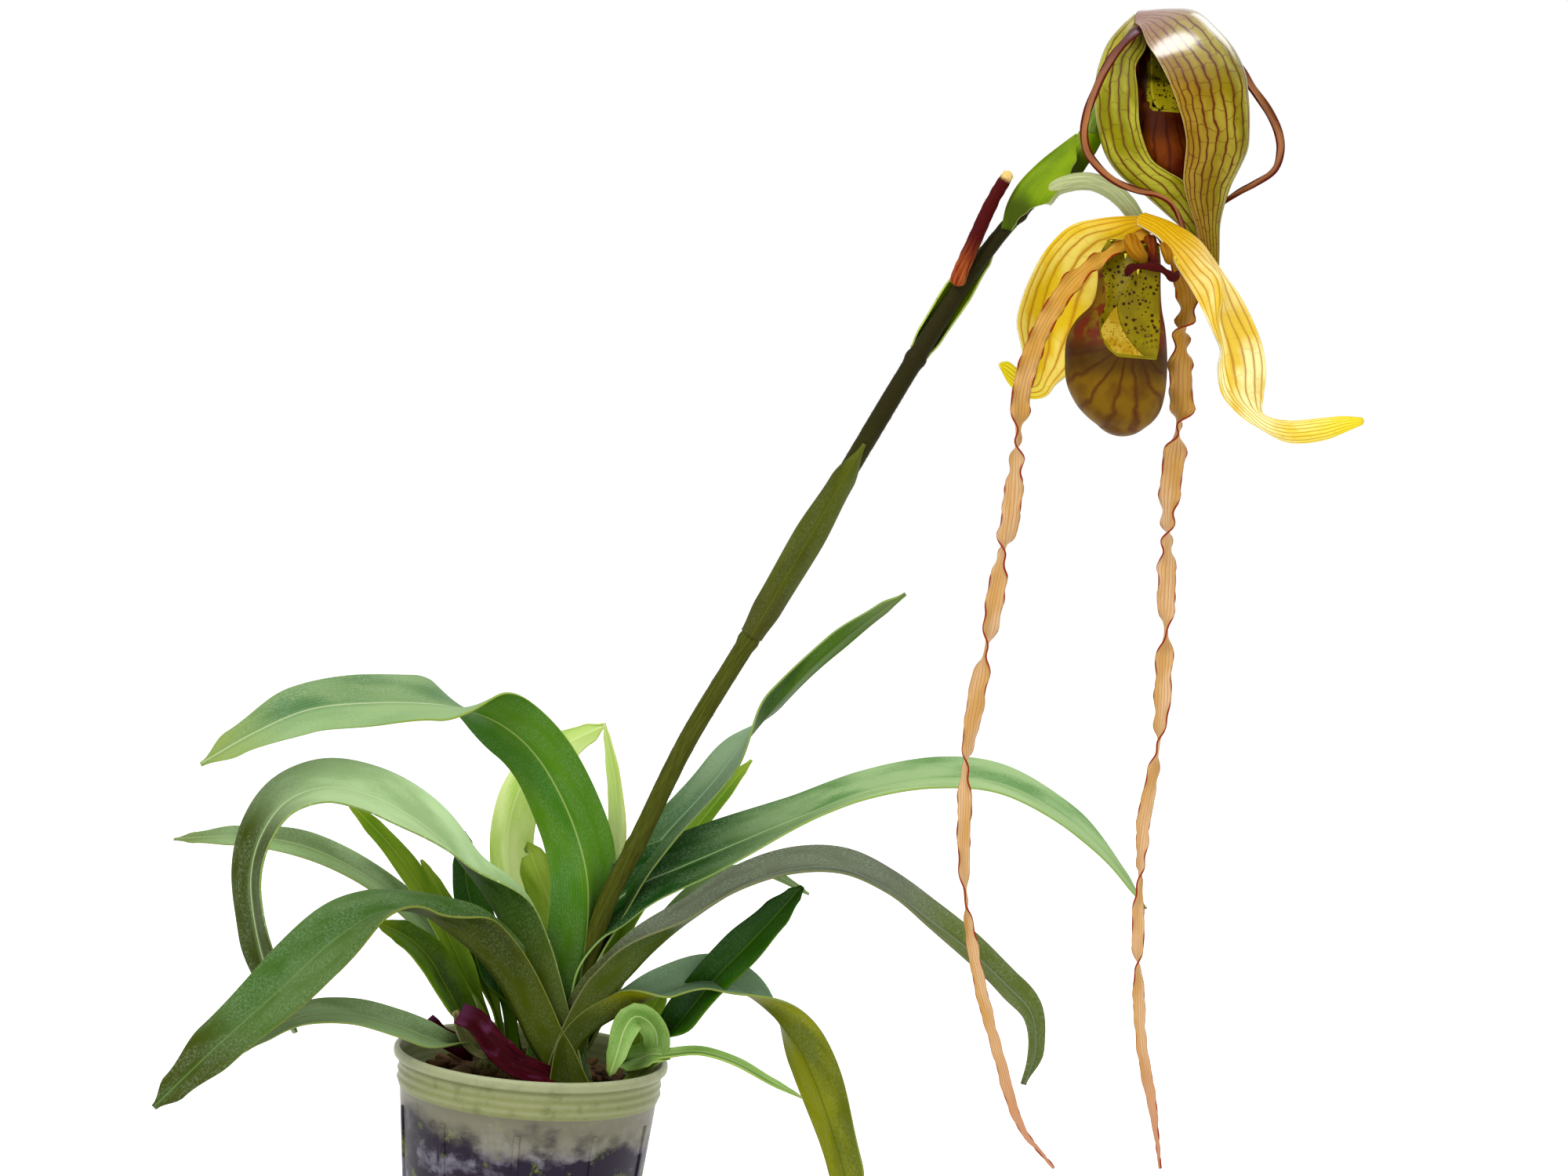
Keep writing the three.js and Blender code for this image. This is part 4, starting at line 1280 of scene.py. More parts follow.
@dataclass
class Pot:
    """Thin-walled frosted pot with a hooped band, a rolled lip and ribs below its step."""

    height: float = 100.0
    rim: float = 56.0
    base: float = 44.0
    wall: float = 1.0
    floor: float = 2.0
    lip: float = 5.0
    lip_proud: float = 2.0
    step: float = 84.0
    step_proud: float = 1.5
    hoops: tuple[float, ...] = (86.8, 90.4, 94.0)
    hoop_proud: float = 0.45
    ribs: int = 10
    rib_size: Point = (1.4, 2.4, 70.0)
    drains: int = 5
    drain_radius: float = 3.0
    drain_circle: float = 25.0
    steps: int = 144

    def radius(self, height: float) -> float:
        """Outer radius of the tapered wall below the step."""
        top = self.rim - self.lip_proud - self.step_proud
        return self.base + (top - self.base) * height / self.step

    def profile(self) -> list[tuple[float, float]]:
        """Closed half section, from the floor's underside round to its upper side.

        Returns:
            Radius and height of each point.
        """
        band = self.rim - self.lip_proud - 0.5
        points = [(0.0, 0.0), (self.base - 1.6, 0.0), (self.base - 0.5, 0.4), (self.base, 1.5)]
        points += [(self.radius(z), z) for z in (12.0, 30.0, 48.0, 66.0, 80.0)]
        points += [(self.radius(self.step) - 0.1, self.step - 0.3)]
        points += [(self.radius(self.step) + 0.4, self.step), (band - 0.3, self.step + 0.8)]
        for hoop in self.hoops:
            points += [(band, hoop - 1.0), (band + self.hoop_proud, hoop), (band, hoop + 1.0)]
        low = self.height - self.lip
        points += [(band + 0.1, low + 0.2), (self.rim - 1.0, low + 0.6), (self.rim - 0.2, low + 1.4)]
        points += [(self.rim, low + 2.6), (self.rim - 0.1, self.height - 1.1)]
        points += [(self.rim - 0.6, self.height - 0.3), (self.rim - 1.3, self.height)]
        points += [(self.rim - 2.1, self.height - 0.3), (self.rim - 2.6, self.height - 1.2)]
        points += [(band - self.wall, low), (band - self.wall - 0.2, self.step + 1.0)]
        points += [(self.radius(self.step) - self.wall, self.step)]
        points += [(self.radius(z) - self.wall, z) for z in (60.0, 30.0, self.floor + 0.6)]
        return points + [(self.radius(self.floor) - self.wall - 0.6, self.floor), (0.0, self.floor)]

    def rib(self, angle: float) -> Mesh:
        """Upright rib that is sunk in the wall.

        Args:
            angle: Its direction, in radians.

        Returns:
            The mesh, in metres.
        """
        mesh = bmesh.new()
        bmesh.ops.create_cube(mesh, size=MM)
        bmesh.ops.scale(mesh, vec=self.rib_size, verts=mesh.verts)
        bmesh.ops.bevel(mesh, geom=mesh.edges[:], offset=0.45 * MM, segments=2, profile=0.5,
                        affect="EDGES", material=-1)
        shear = (self.radius(self.step) - self.base) / self.step
        for vertex in mesh.verts:
            vertex.co.x += self.radius(0.5 * self.step) * MM + shear * vertex.co.z
            vertex.co.z += 0.5 * self.step * MM
        bmesh.ops.rotate(mesh, cent=(0, 0, 0), matrix=Matrix.Rotation(angle, 3, "Z"),
                         verts=mesh.verts)
        return mesh

    def drain(self, angle: float) -> Mesh:
        """Round plug that cuts a drain hole.

        Args:
            angle: Its direction, in radians.

        Returns:
            The mesh, in metres.
        """
        mesh = bmesh.new()
        spot = Vector((math.cos(angle), math.sin(angle), 0.0)) * (self.drain_circle * MM)
        bmesh.ops.create_cone(mesh, cap_ends=True, segments=24, radius1=self.drain_radius * MM,
                              radius2=self.drain_radius * MM, depth=4 * self.floor * MM,
                              matrix=Matrix.Translation(spot))
        return mesh

    def build(self) -> None:
        """Builds the pot, cuts its drain holes and adds its ribs."""
        plugs = bmesh.new()
        for i in range(self.drains):
            join(plugs, self.drain(math.tau * i / self.drains))
        cutter = Piece("drain_plugs", "pot", ()).set_out(plugs, [])
        body = Piece("pot_blank", "pot", ()).set_out(spun(self.profile(), self.steps), [])
        holes = body.modifiers.new("drains", "BOOLEAN")
        holes.object = cutter
        holes.operation = "DIFFERENCE"
        bpy.context.view_layer.update()
        done = body.evaluated_get(bpy.context.evaluated_depsgraph_get())
        mesh = bmesh.new()
        mesh.from_mesh(done.to_mesh())
        done.to_mesh_clear()
        for spare in (body, cutter):
            data = spare.data
            bpy.data.objects.remove(spare)
            bpy.data.meshes.remove(data)
        for i in range(self.ribs):
            join(mesh, self.rib(math.tau * (i + 0.5) / self.ribs))
        skin = PotSkin("pot_frosted", POT_CODES, self.step)
        Piece("pot_surface", "pot", ("pot",)).set_out(mesh, [skin.material()])


# ---- bark and crowns


@dataclass
class Bed:
    """Bark medium: a filled bed with loose chips on top."""

    pot: Pot
    gap: float = 0.35
    top: float = 89.0
    chips: int = 150
    seed: int = 5

    def ground(self) -> Mesh:
        """Closed body of the medium, its top broken up.

        Returns:
            The mesh, in metres.
        """
        edge = self.pot.wall + self.gap
        low = self.pot.floor + self.gap
        at_step = self.pot.radius(self.pot.step) - edge
        profile = [(0.0, low), (self.pot.radius(low) - edge, low), (at_step, self.pot.step)]
        profile += [(at_step, self.top - 3.0)]
        profile += [(46.0 - 2.3 * i, self.top - 1.5 + 0.05 * i) for i in range(21)]
        mesh = spun(profile, 72)
        for vertex in mesh.verts:
            if vertex.co.z > (self.top - 2.5) * MM:
                vertex.co.z += 1.8 * MM * noise.noise(vertex.co * 140.0)
                vertex.co.z += 0.7 * MM * noise.noise(vertex.co * 420.0)
        return mesh

    def chip(self, draw: random.Random) -> Mesh:
        """One chip of bark, lying loose.

        Args:
            draw: Source of its size and place.

        Returns:
            The mesh, in metres, with its shade in the blade map.
        """
        mesh = bmesh.new()
        bmesh.ops.create_cube(mesh, size=MM)
        size = (draw.uniform(4.0, 11.0), draw.uniform(3.5, 7.5), draw.uniform(1.6, 3.6))
        bmesh.ops.scale(mesh, vec=size, verts=mesh.verts)
        bmesh.ops.bevel(mesh, geom=mesh.edges[:], offset=0.5 * MM, segments=1, profile=0.5,
                        affect="EDGES", material=-1)
        for vertex in mesh.verts:
            vertex.co += Vector([draw.uniform(-0.4, 0.4) for _ in range(3)]) * MM
        turn = Matrix.Rotation(draw.uniform(0.0, math.tau), 4, "Z")
        turn = turn @ Matrix.Rotation(draw.uniform(-0.5, 0.5), 4, "X")
        turn = turn @ Matrix.Rotation(draw.uniform(-0.35, 0.35), 4, "Y")
        ring = 45.0 * math.sqrt(draw.random())
        angle = draw.uniform(0.0, math.tau)
        height = self.top - 1.0 + draw.uniform(0.0, 2.4) - 1.6 * (ring > 40.0)
        spot = Vector((ring * math.cos(angle), ring * math.sin(angle), height)) * MM
        bmesh.ops.transform(mesh, matrix=Matrix.Translation(spot) @ turn, verts=mesh.verts)
        shade = draw.random()
        write_map(mesh, "blade", lambda _: (shade, 0.0))
        return mesh

    def build(self) -> None:
        """Builds the bed with its chips."""
        draw = random.Random(self.seed)
        mesh = self.ground()
        write_map(mesh, "blade", lambda _: (0.0, 0.0))
        for _ in range(self.chips):
            join(mesh, self.chip(draw))
        skin = BarkSkin("bark_chips", "1f130b 5d4128 8a6a48 5f6230")
        Piece("bark_surface", "bark", ("bark_medium",)).set_out(mesh, [skin.material()])


@dataclass
class Rhizome:
    """Crowns of the four growths, as X, Y, half length and half depth, joined by runners."""

    crowns: tuple[tuple[float, float, float, float], ...] = (
        (18, -14, 9, 5), (-15, 4, 9, 5), (44, 0, 6, 5), (14, 18, 10, 5))
    foot: float = 76.0
    top: float = 94.0
    runner: float = 5.0
    runner_height: float = 84.0
    sag: float = 2.0

    def crown(self, x: float, y: float, length: float, depth: float) -> Mesh:
        """Oval crown, creased by the leaves that rise from it.

        Args:
            x: X of its middle.
            y: Y of its middle.
            length: Half its length.
            depth: Half its depth.

        Returns:
            The mesh, in metres.
        """
        profile = [(0.0, self.foot), (0.55, self.foot + 1.0), (1.0, self.foot + 4.0)]
        profile += [(1.0, self.foot + 12.0), (1.0, self.top - 3.0), (0.9, self.top - 1.0)]
        profile += [(0.72, self.top - 0.2), (0.3, self.top), (0.0, self.top)]
        mesh = spun(profile, 64)
        for vertex in mesh.verts:
            angle = math.atan2(vertex.co.y, vertex.co.x)
            crease = 1.0 - 0.05 * abs(math.sin(5.0 * angle + 60.0 * vertex.co.z))
            vertex.co.x = vertex.co.x * length * crease + x * MM
            vertex.co.y = vertex.co.y * depth * crease + y * MM
        return mesh

    def build(self) -> None:
        """Builds the crowns and runners."""
        mesh = bmesh.new()
        for crown in self.crowns:
            join(mesh, self.crown(*crown))
        main = self.crowns[0]
        for end in self.crowns[1:]:
            middle = (0.5 * (main[0] + end[0]), 0.5 * (main[1] + end[1]), self.runner_height - self.sag)
            points = (
                (main[0], main[1], self.runner_height), middle,
                (end[0], end[1], self.runner_height),
            )
            join(mesh, Stalk(points, self.runner).mesh())
        skin = CrownSkin("crown_olive", "3a2c16 7f7c44 7b8848")
        Piece("rhizome_surface", "crown", ("rhizome",)).set_out(mesh, [skin.material()])


# ---- flower stem

SCAPE = (
    (17.3, -9, 99), (19, -9, 128), (25, -12, 162), (38, -17, 196), (53, -22, 235),
    (75, -27, 280), (94, -31, 320), (112, -34, 358), (133, -38, 401), (149, -40, 431),
    (162, -41, 451), (175, -41, 467), (183, -40, 478),
)


def beside(low: float, high: float, count: int, shift: float) -> Points:
    """Points beside the flower stem.

    Args:
        low: Share of the stem's length at the first.
        high: Share at the last.
        count: Number of steps.
        shift: How far they lie behind the stem's centre line.

    Returns:
        The points.
    """
    line = Line(SCAPE)
    spots = [line.at(low + (high - low) * i / count) for i in range(count + 1)]
    return tuple((p.x, p.y + shift, p.z) for p in spots)


def clasping(half: float) -> Keys:
    """Half width keys of a bract that clasps a stem and ends in a point."""
    shares = ((0.0, 0.7), (0.15, 0.9), (0.5, 1.0), (0.8, 0.75), (1.0, 0.08))
    return tuple((place, half * share) for place, share in shares)


@dataclass
class Bract:
    """Bract or sheath: a gutter that clasps a stem or a growth, creased unless it is rounded."""

    node: str
    slot: str
    half: Keys
    fold: float
    roll: float
    points: Points
    dress: Dress
    rounded: bool = True
    thickness: float = 0.8
    pace: float = 1.2
    ripple: Ripple = Ripple(0.25, 2.0, 0.4)

    def build(self) -> None:
        """Builds it in place of its solid."""
        blade = Blade(self.points, self.half, Side.LEFT, fold=self.fold, roll=self.roll,
                      rounded=self.rounded, thickness=self.thickness, pace=self.pace,
                      ripple=self.ripple)
        set_blade(self.node, self.slot, blade, self.dress)


STEM_SKIN = StemSkin("stem_downy", "42460e 50561c 2c280a 8a8c6c", 0.14, (0.5, 0.72))
SHEATH_GREEN = LeafSkin("sheath_smooth", "434606 525a10 484a14 5c6418 5a6118 6a7028",
                        dust=0.1)
BRACT_BACK = LeafSkin("bract_outside", "5c7c00 84a008 445404 7a9008 8ca424 a8bc48",
                      reach=0.4)
BRACT_EDGE = EdgeSkin("bract_margin", "b9c868 8a9a3a")


@dataclass
class FlowerStem:
    """The scape with its sheaths, bracts and the dry stub of an earlier flower."""

    radius: Keys = ((0, 3.8), (0.7, 3.8), (1, 2.6))
    rings: tuple[tuple[float, float], ...] = (
        (0.225, 0.5), (0.455, 0.7), (0.765, 0.8), (0.93, 0.9))
    keel: Keys = ((0, 4.0), (0.07, 5.6), (0.2, 8.6), (0.45, 14), (0.68, 13.5), (0.85, 8.8), (1, 0.3))
    stub: Points = (
        (143, -45, 425), (145, -46, 432.6), (149.3, -46, 445.1), (154, -46, 458.3),
        (157.8, -46, 466.5), (159.9, -47, 470.6))
    hairs: int = 2600

    def bracts(self) -> list[Bract]:
        """The four sheaths and bracts, from the lowest.

        Returns:
            The bracts.
        """
        green = Dress(SHEATH_GREEN, SHEATH_GREEN, BRACT_EDGE)
        bright = Dress(BRACT_BACK, BRACT_BACK, BRACT_EDGE)
        return [
            Bract("scape_sheath_low", "stem", clasping(8.5), 44, -90,
                  beside(0.46, 0.672, 4, -5.0), green),
            Bract("scape_sheath_high", "bract", clasping(7.2), 40, 90,
                  beside(0.772, 0.9, 4, 5.0), bright),
            Bract("bract_lower", "bract", self.keel, 72, 0, (
                (159, -44, 448.5), (160.2, -44, 457.6), (164, -44, 466.2), (171.5, -44, 475.4),
                (178.4, -44, 481.9), (184.4, -44, 487.2)), bright, rounded=False),
            Bract("bract_upper", "bract", clasping(6.5), 40, -70, (
                (182, -43, 472), (187, -39, 483), (192, -35, 493), (196, -31, 500)), bright),
        ]

    def build_scape(self) -> None:
        """Builds the stem with its hairs."""
        stalk = Stalk(SCAPE, self.radius, sides=28, pace=1.6, nodes=self.rings)
        mesh = stalk.mesh()
        join(mesh, stalk.hairs(self.hairs, 0.8, 3))
        Piece("scape_surface", "stem", ("scape",)).set_out(mesh, [STEM_SKIN.material()])

    def build_stub(self) -> None:
        """Builds the dry stub."""
        keys = ((0, 3.1), (0.5, 2.8), (0.9, 2.5), (1, 2.2))
        stalk = Stalk(self.stub, keys, pace=1.0, bumps=0.35)
        mesh = stalk.mesh()
        join(mesh, stalk.hairs(260, 0.6, 8))
        skin = StemSkin("stub_dry", "7a2004 b0602c 4c0404 8c4440", 0.2, (0.1, 0.45), "f4d080")
        Piece("spent_stub_surface", "stub", ("spent_stub",)).set_out(mesh, [skin.material()])

    def build(self) -> None:
        """Builds the stem and all that it carries below the flowers."""
        self.build_scape()
        self.build_stub()
        for bract in self.bracts():
            bract.build()


# ---- flowers


@dataclass(frozen=True)
class Pouch:
    """Slipper pouch: a shell of oval rings with an open front whose rim turns in.

    stack holds the X, Y, Z, half width and half depth of each ring, from the top, and front is the
    direction of the mouth's middle. The rim is level out to the angles of level, to the left and
    the right, and reaches the top at those of open. lobes are the inner edges of its infolds.
    """

    stack: tuple[tuple[float, float, float, float, float], ...]
    front: float
    lip: float
    drop: float
    level: tuple[float, float]
    open: tuple[float, float]
    lobes: tuple[Points, Points]
    wall: float = 0.9
    rows: int = 72
    fold_rows: int = 14
    columns: int = 184

    def ring(self, turn: float) -> tuple[float, ...]:
        """Ring between those of the stack, and on past the last to the toe's pole.

        Args:
            turn: Number of the ring, with a fraction.

        Returns:
            Its X, Y, Z, half width and half depth.
        """
        last = len(self.stack) - 1
        if turn > last:
            x, y, z, half, depth = self.stack[last]
            angle = 0.25 * math.pi * (1.0 + min(1.0, turn - last))
            shrink = math.cos(angle) * math.sqrt(2.0)
            sunk = (math.sin(angle) - math.sqrt(0.5)) / (1.0 - math.sqrt(0.5))
            return x, y, z - self.drop * sunk, half * shrink, depth * shrink
        index = min(int(turn), last - 1)
        part = turn - index
        zero = self.stack[max(0, index - 1)]
        one, two = self.stack[index], self.stack[index + 1]
        three = self.stack[min(last, index + 2)]
        return tuple(
            b + 0.5 * part * (c - a + part * (2 * a - 5 * b + 4 * c - d + part * (3 * (b - c) + d - a)))
            for a, b, c, d in zip(zero, one, two, three))

    def spot(self, turn: float, angle: float) -> Vector:
        """Point of the outside at a ring and an angle in radians."""
        x, y, z, half, depth = self.ring(turn)
        return Vector((x + half * math.cos(angle), y + depth * math.sin(angle), z))

    def lift(self, off: float) -> float:
        """Share of the way from the lip to the top that the rim has risen at an angle."""
        hand = int(off > 0.0)
        return smooth(self.level[hand], self.open[hand], abs(off))

    def rim_turn(self, off: float) -> float:
        """Ring that the rim lies on.

        Args:
            off: Angle from the mouth's middle, in degrees.

        Returns:
            Number of the ring, with a fraction.
        """
        goal = self.lip + (self.stack[0][2] - self.lip) * self.lift(off)
        low, high = 0.0, float(len(self.stack) - 1)
        for _ in range(SEARCH_STEPS):
            middle = 0.5 * (low + high)
            low, high = (middle, high) if self.ring(middle)[2] > goal else (low, middle)
        return low

    def angles(self) -> list[float]:
        """Angles of the columns from the mouth's middle, closest at the sides of the mouth.

        Returns:
            The angles, in degrees.
        """
        count = 720
        fine = [360.0 * i / count - 180.0 for i in range(count + 1)]
        reach = [0.0]
        for angle in fine[1:]:
            steep = abs(self.lift(angle + 1.0) - self.lift(angle - 1.0))
            reach.append(reach[-1] + 1.0 + 60.0 * steep)
        found, index = [], 0
        for i in range(self.columns + 1):
            goal = reach[-1] * i / self.columns
            while index < count - 1 and reach[index + 1] < goal:
                index += 1
            part = (goal - reach[index]) / (reach[index + 1] - reach[index])
            found.append(fine[index] + 360.0 / count * part)
        return found

    def inner_end(self, off: float, edge: Vector, ring: Sequence[float]) -> Vector:
        """Where the rim's infold ends.

        Args:
            off: Angle from the mouth's middle, in degrees.
            edge: Point of the rim.
            ring: The rim's ring.

        Returns:
            The point: near the rim at the lip and the back, on a lobe's edge at the sides.
        """
        hand = int(off > 0.0)
        inward = (Vector((ring[0], ring[1], edge.z)) - edge).normalized()
        share = self.lift(off)
        lobe = through([Vector(point) for point in self.lobes[hand]], share)
        near = edge + inward * 1.4
        back = smooth(self.open[hand] - 2.0, self.open[hand] + 16.0, abs(off))
        return near.lerp(lobe, smooth(0.0, 0.05, share) * (1.0 - back))

    def build(self, node: str, slot: str, skins: Sequence[Skin]) -> None:
        """Builds the pouch in place of its solid.

        Args:
            node: The solid.
            slot: Its material slot.
            skins: Finishes of the outside, the lobes and the inside.
        """
        offs = self.angles()
        toe = float(len(self.stack))
        total = self.rows + self.fold_rows
        split = self.fold_rows / total

        def place(across: float, along: float) -> Vector:
            """Point of the shell, from the end of the infold down to the toe.

            Args:
                across: Place round, 0 to 1.
                along: Place along, 0 to 1.

            Returns:
                The point, in millimetres.
            """
            off = offs[round(across * self.columns)]
            angle = math.radians(self.front + off)
            rim = self.rim_turn(off)
            if along >= split:
                return self.spot(rim + (toe - rim) * (along - split) / (1.0 - split), angle)
            part = 1.0 - along / split
            edge = self.spot(rim, angle)
            end = self.inner_end(off, edge, self.ring(rim))
            rise = 0.9 * math.sin(math.pi * min(1.0, 2.0 * part)) * (1.0 - self.lift(off))
            recess = 1.2 * self.lift(off) * math.sin(math.pi * part)
            return edge.lerp(end, part) + Vector((0.0, recess, rise - 0.5 * part * (rise > 0.0)))

        mesh = sheet(self.columns, total, place, lambda a, b: (a * SPAN_ACROSS, b * 60.0))
        blade = mesh.loops.layers.uv["blade"]
        for face in mesh.faces:
            inside = sum(corner[blade].uv.y for corner in face.loops) / 4.0 < split
            face.material_index = 1 if inside else 0
        bmesh.ops.remove_doubles(mesh, verts=mesh.verts, dist=2 * WELD)
        low = min(mesh.verts, key=lambda v: v.co.z)
        if low.link_faces[0].normal.z > 0 and sum(f.normal.z for f in low.link_faces) > 0:
            bmesh.ops.reverse_faces(mesh, faces=mesh.faces)
        outside, lobe, inside = [skin.material() for skin in skins]
        piece = Piece(f"{node}_surface", slot, (node,)).set_out(mesh, [outside, lobe, inside, lobe])
        thicken(piece, self.wall, inner=2, rim=0, offset=-1.0)


@dataclass
class Flower:
    """A slipper flower; where is lower or upper, and its petals and sepals go by hand.

    The column has a post, a shield bar, cushions beside the post and small teeth. slots are those
    of petals, sepals and pouch, and pouch_skins its outside, lobes and inside.
    """

    where: str
    ovary: Stalk
    column: Stalk
    shield: Stalk
    cushions: Sequence[Stalk]
    teeth: Points
    pouch: Pouch
    petals: dict[str, Blade]
    sepals: dict[str, Loft]
    slots: tuple[str, str, str]
    petal_dress: Dress
    sepal_dress: dict[str, Dress]
    pouch_skins: tuple[Skin, Skin, Skin]
    ovary_skin: Skin

    def build_ovary(self) -> None:
        """Builds the downy stalk and ovary."""
        node = f"ovary_{self.where}"
        mesh = self.ovary.mesh()
        join(mesh, self.ovary.hairs(500, 0.5, 21))
        Piece(f"{node}_surface", "ovary", (node,)).set_out(mesh, [self.ovary_skin.material()])

    def build_column(self) -> None:
        """Builds the post, the bar, the cushions and the teeth."""
        node = f"column_{self.where}"
        parts = [(self.shield.mesh(), 0), (self.column.mesh(), 1)]
        parts += [(cushion.mesh(), 2) for cushion in self.cushions]
        for spot in self.teeth:
            tooth = bmesh.new()
            turn = Matrix.Rotation(math.pi, 4, "X")
            bmesh.ops.create_cone(tooth, cap_ends=True, segments=8, radius1=0.6 * MM,
                                  radius2=0.1 * MM, depth=2.2 * MM,
                                  matrix=Matrix.Translation(Vector(spot) * MM) @ turn)
            parts.append((tooth, 3))
        mesh = bmesh.new()
        for part, index in parts:
            for face in part.faces:
                face.material_index = index
            join(mesh, part)
        skins = [
            StemSkin("column_maroon", "38040a 520c10 40060a 6a2a20", 0.15),
            StemSkin("column_post", "5a1c08 84400c 4a0c08 8a5a2a", 0.15),
            StemSkin("column_cushion", "8c5008 b07c10 8c5c08 c89c30", 0.3),
            StemSkin("column_teeth", "d8b820 ecd650 e6cc3c f4ecb0", 0.1),
        ]
        Piece(f"{node}_surface", "column", (node,)).set_out(
            mesh, [skin.material() for skin in skins])

    def build(self) -> None:
        """Builds the whole flower."""
        self.build_ovary()
        self.build_column()
        self.pouch.build(f"pouch_{self.where}", self.slots[2], self.pouch_skins)
        for hand, petal in self.petals.items():
            set_blade(f"petal_{self.where}_{hand}", self.slots[0], petal, self.petal_dress)
        for hand, sepal in self.sepals.items():
            set_blade(f"sepal_{self.where}_{hand}", self.slots[1], sepal, self.sepal_dress[hand])


RIBBON_WAVE = Ripple(((0, 0.6), (0.08, 2.2), (0.25, 1.7), (0.45, 0.8), (1, 0.4)), 33.0, fray=0.14)

# the gold and amber sepals glow a little: painted light shining through them
GOLD_SEPAL = Dress(
    SepalSkin("sepal_gold_inside", "e0bc20 ecd460 b87c04 f4ecc0 dcac08 e8dc20",
              count=7.0, rungs=0.3, strength=0.75, painted_glow=0.22),
    SepalSkin("sepal_gold_outside", "d8b010 e8cc40 a8700c f2e6b4 d09c10 ecdc48",
              count=7.0, rungs=0.3, strength=0.7, painted_glow=0.22),
    EdgeSkin("sepal_gold_margin", "f4ecc4 d8b060"))
AMBER_SEPAL = Dress(
    SepalSkin("sepal_amber_inside", "e4c040 f8eca0 a86800 f4ecc0 d4a818 f0dc30",
              count=9.0, rungs=0.3, strength=0.65, reach=0.44, tail=0.7, painted_glow=0.22),
    GOLD_SEPAL.under, GOLD_SEPAL.edge)
GREEN_SEPAL = Dress(
    SepalSkin("sepal_green_inside", "8c8c10 b0b030 703c0c cfc870 7a4a20 8c8f12",
              count=10.0, links=8.0, strength=0.8),
    SepalSkin("sepal_green_outside", "847c0c a49c34 5c2400 d8cc84 98684c 847a04",
              count=16.0, links=7.0, rungs=0.7, wobble=1.1, strength=0.9, reach=0.3, gloss=0.24,
              coat=1.0, flank="98601c", flanked=0.55),
    EdgeSkin("sepal_green_margin", "b88450 985c30"))
LEFT_SEPAL = Dress(
    GREEN_SEPAL.upper,
    SepalSkin("sepal_olive_outside", "908c0c b4b038 64340c c4c470 a89c3c 8c881c",
              count=10.0, links=8.0, rungs=0.6, wobble=0.8, strength=0.85, reach=0.2, gloss=0.36,
              coat=0.2),
    EdgeSkin("sepal_olive_margin", "a8a83c 7c7020"))
TAN_PETAL = Dress(
    RibbonSkin("petal_tan_upper", "cc9c58 dcb484 9a5410 8c2c0c cc940c cc8c70", 0.36),
    RibbonSkin("petal_tan_under", "c89854 d8b080 9a5414 8c3014 c8900c c8886c", 0.36),
    EdgeSkin("petal_tan_margin", "983418 701c14"))
DARK_PETAL = Dress(
    RibbonSkin("petal_dark_upper", "985828 b47038 4c1410 5c1c18 401430 783c20",
               0.45, 0.3, 0.3),
    RibbonSkin("petal_dark_under", "905024 ac6834 4c1410 5c1c18 401430 74381c",
               0.45, 0.3, 0.3),
    EdgeSkin("petal_dark_margin", "5c1c14 3c1010"))


def ribbons(left: Sequence[Any], right: Sequence[Any], **settings: Any) -> dict[str, Blade]:
    """The two long petals of a flower.

    Args:
        left: Points, half width and roll of the left one.
        right: The same of the right one.
        settings: What both have alike.

    Returns:
        The petals by hand.
    """
    hands = {"left": (Side.LEFT, left), "right": (Side.RIGHT, right)}
    return {
        hand: Blade(points, half, side, roll=roll, **settings)
        for hand, (side, (points, half, roll)) in hands.items()}


LOWER_STACK = grid("""
208.5 -64 447 10 5, 207.6 -65 440 12 8, 208.2 -66 431 12.1 11, 208.2 -67 423 13.2 12.5,
206.2 -68 416 17 14, 205.3 -69 408.5 19.2 16, 205.7 -70 400 19.6 17, 206.4 -71 391.5 18.9 16.5,
207.8 -71 384.5 16.4 15, 208.8 -71 380 13 12.5, 209.5 -71 376.5 8.6 8.4
""")
LOWER_LOBES = rows("""
197.7 -75 411.8, 198.6 -75 414.5, 201.9 -75 421, 204.6 -74 425, 209 -72 435, 210 -68 446
216.4 -80 403.8, 209.4 -79 410.7, 205.4 -78 417, 204 -77 424.2, 208.4 -75 435, 211 -70 446
""")
LOWER_PETAL_LEFT = grid("""
214 -60 451.4, 206.7 -66 447, 198.7 -71 441.6, 191.4 -74 436, 185.3 -76 429.4, 181.2 -76 422.5,
177.4 -75 415, 174.6 -74 407.3, 172.8 -72 399, 171 -70 389.8, 170.4 -69 378, 170.6 -68 360,
171 -68 340, 168 -66 308, 164 -66 265, 163 -66 242, 164 -66 215, 167 -66 188, 175 -66 158,
186 -66 127, 197 -66 101, 211 -66 86
""")
LOWER_PETAL_LEFT_HALF = (
    (0, 2.0), (0.06, 2.5), (0.12, 3.6), (0.2, 3.8), (0.26, 3.8), (0.35, 3.6), (0.5, 3.4), (0.65, 2.6),
    (0.9, 2.2), (1, 0.5),
)
LOWER_PETAL_LEFT_ROLL = (
    (0, 60), (0.2, 90), (0.335, 270), (0.411, 450), (0.527, 630), (0.637, 810), (0.797, 990), (1, 1010),
)
LOWER_PETAL_RIGHT = grid("""
218.9 -60 450.9, 222.6 -61 445.8, 226.8 -60 440.8, 229.9 -59 434.4, 232.2 -58 427.4,
232.6 -58 420.4, 231.7 -59 414, 231.5 -60 406.8, 231.8 -60 397.7, 232.6 -60 388.7, 232 -60 376,
232 -60 357, 233 -60 337, 235 -60 298, 237 -60 257, 234 -60 227, 234 -60 200, 237 -60 168,
241 -60 137, 248 -60 111, 253 -60 88
""")
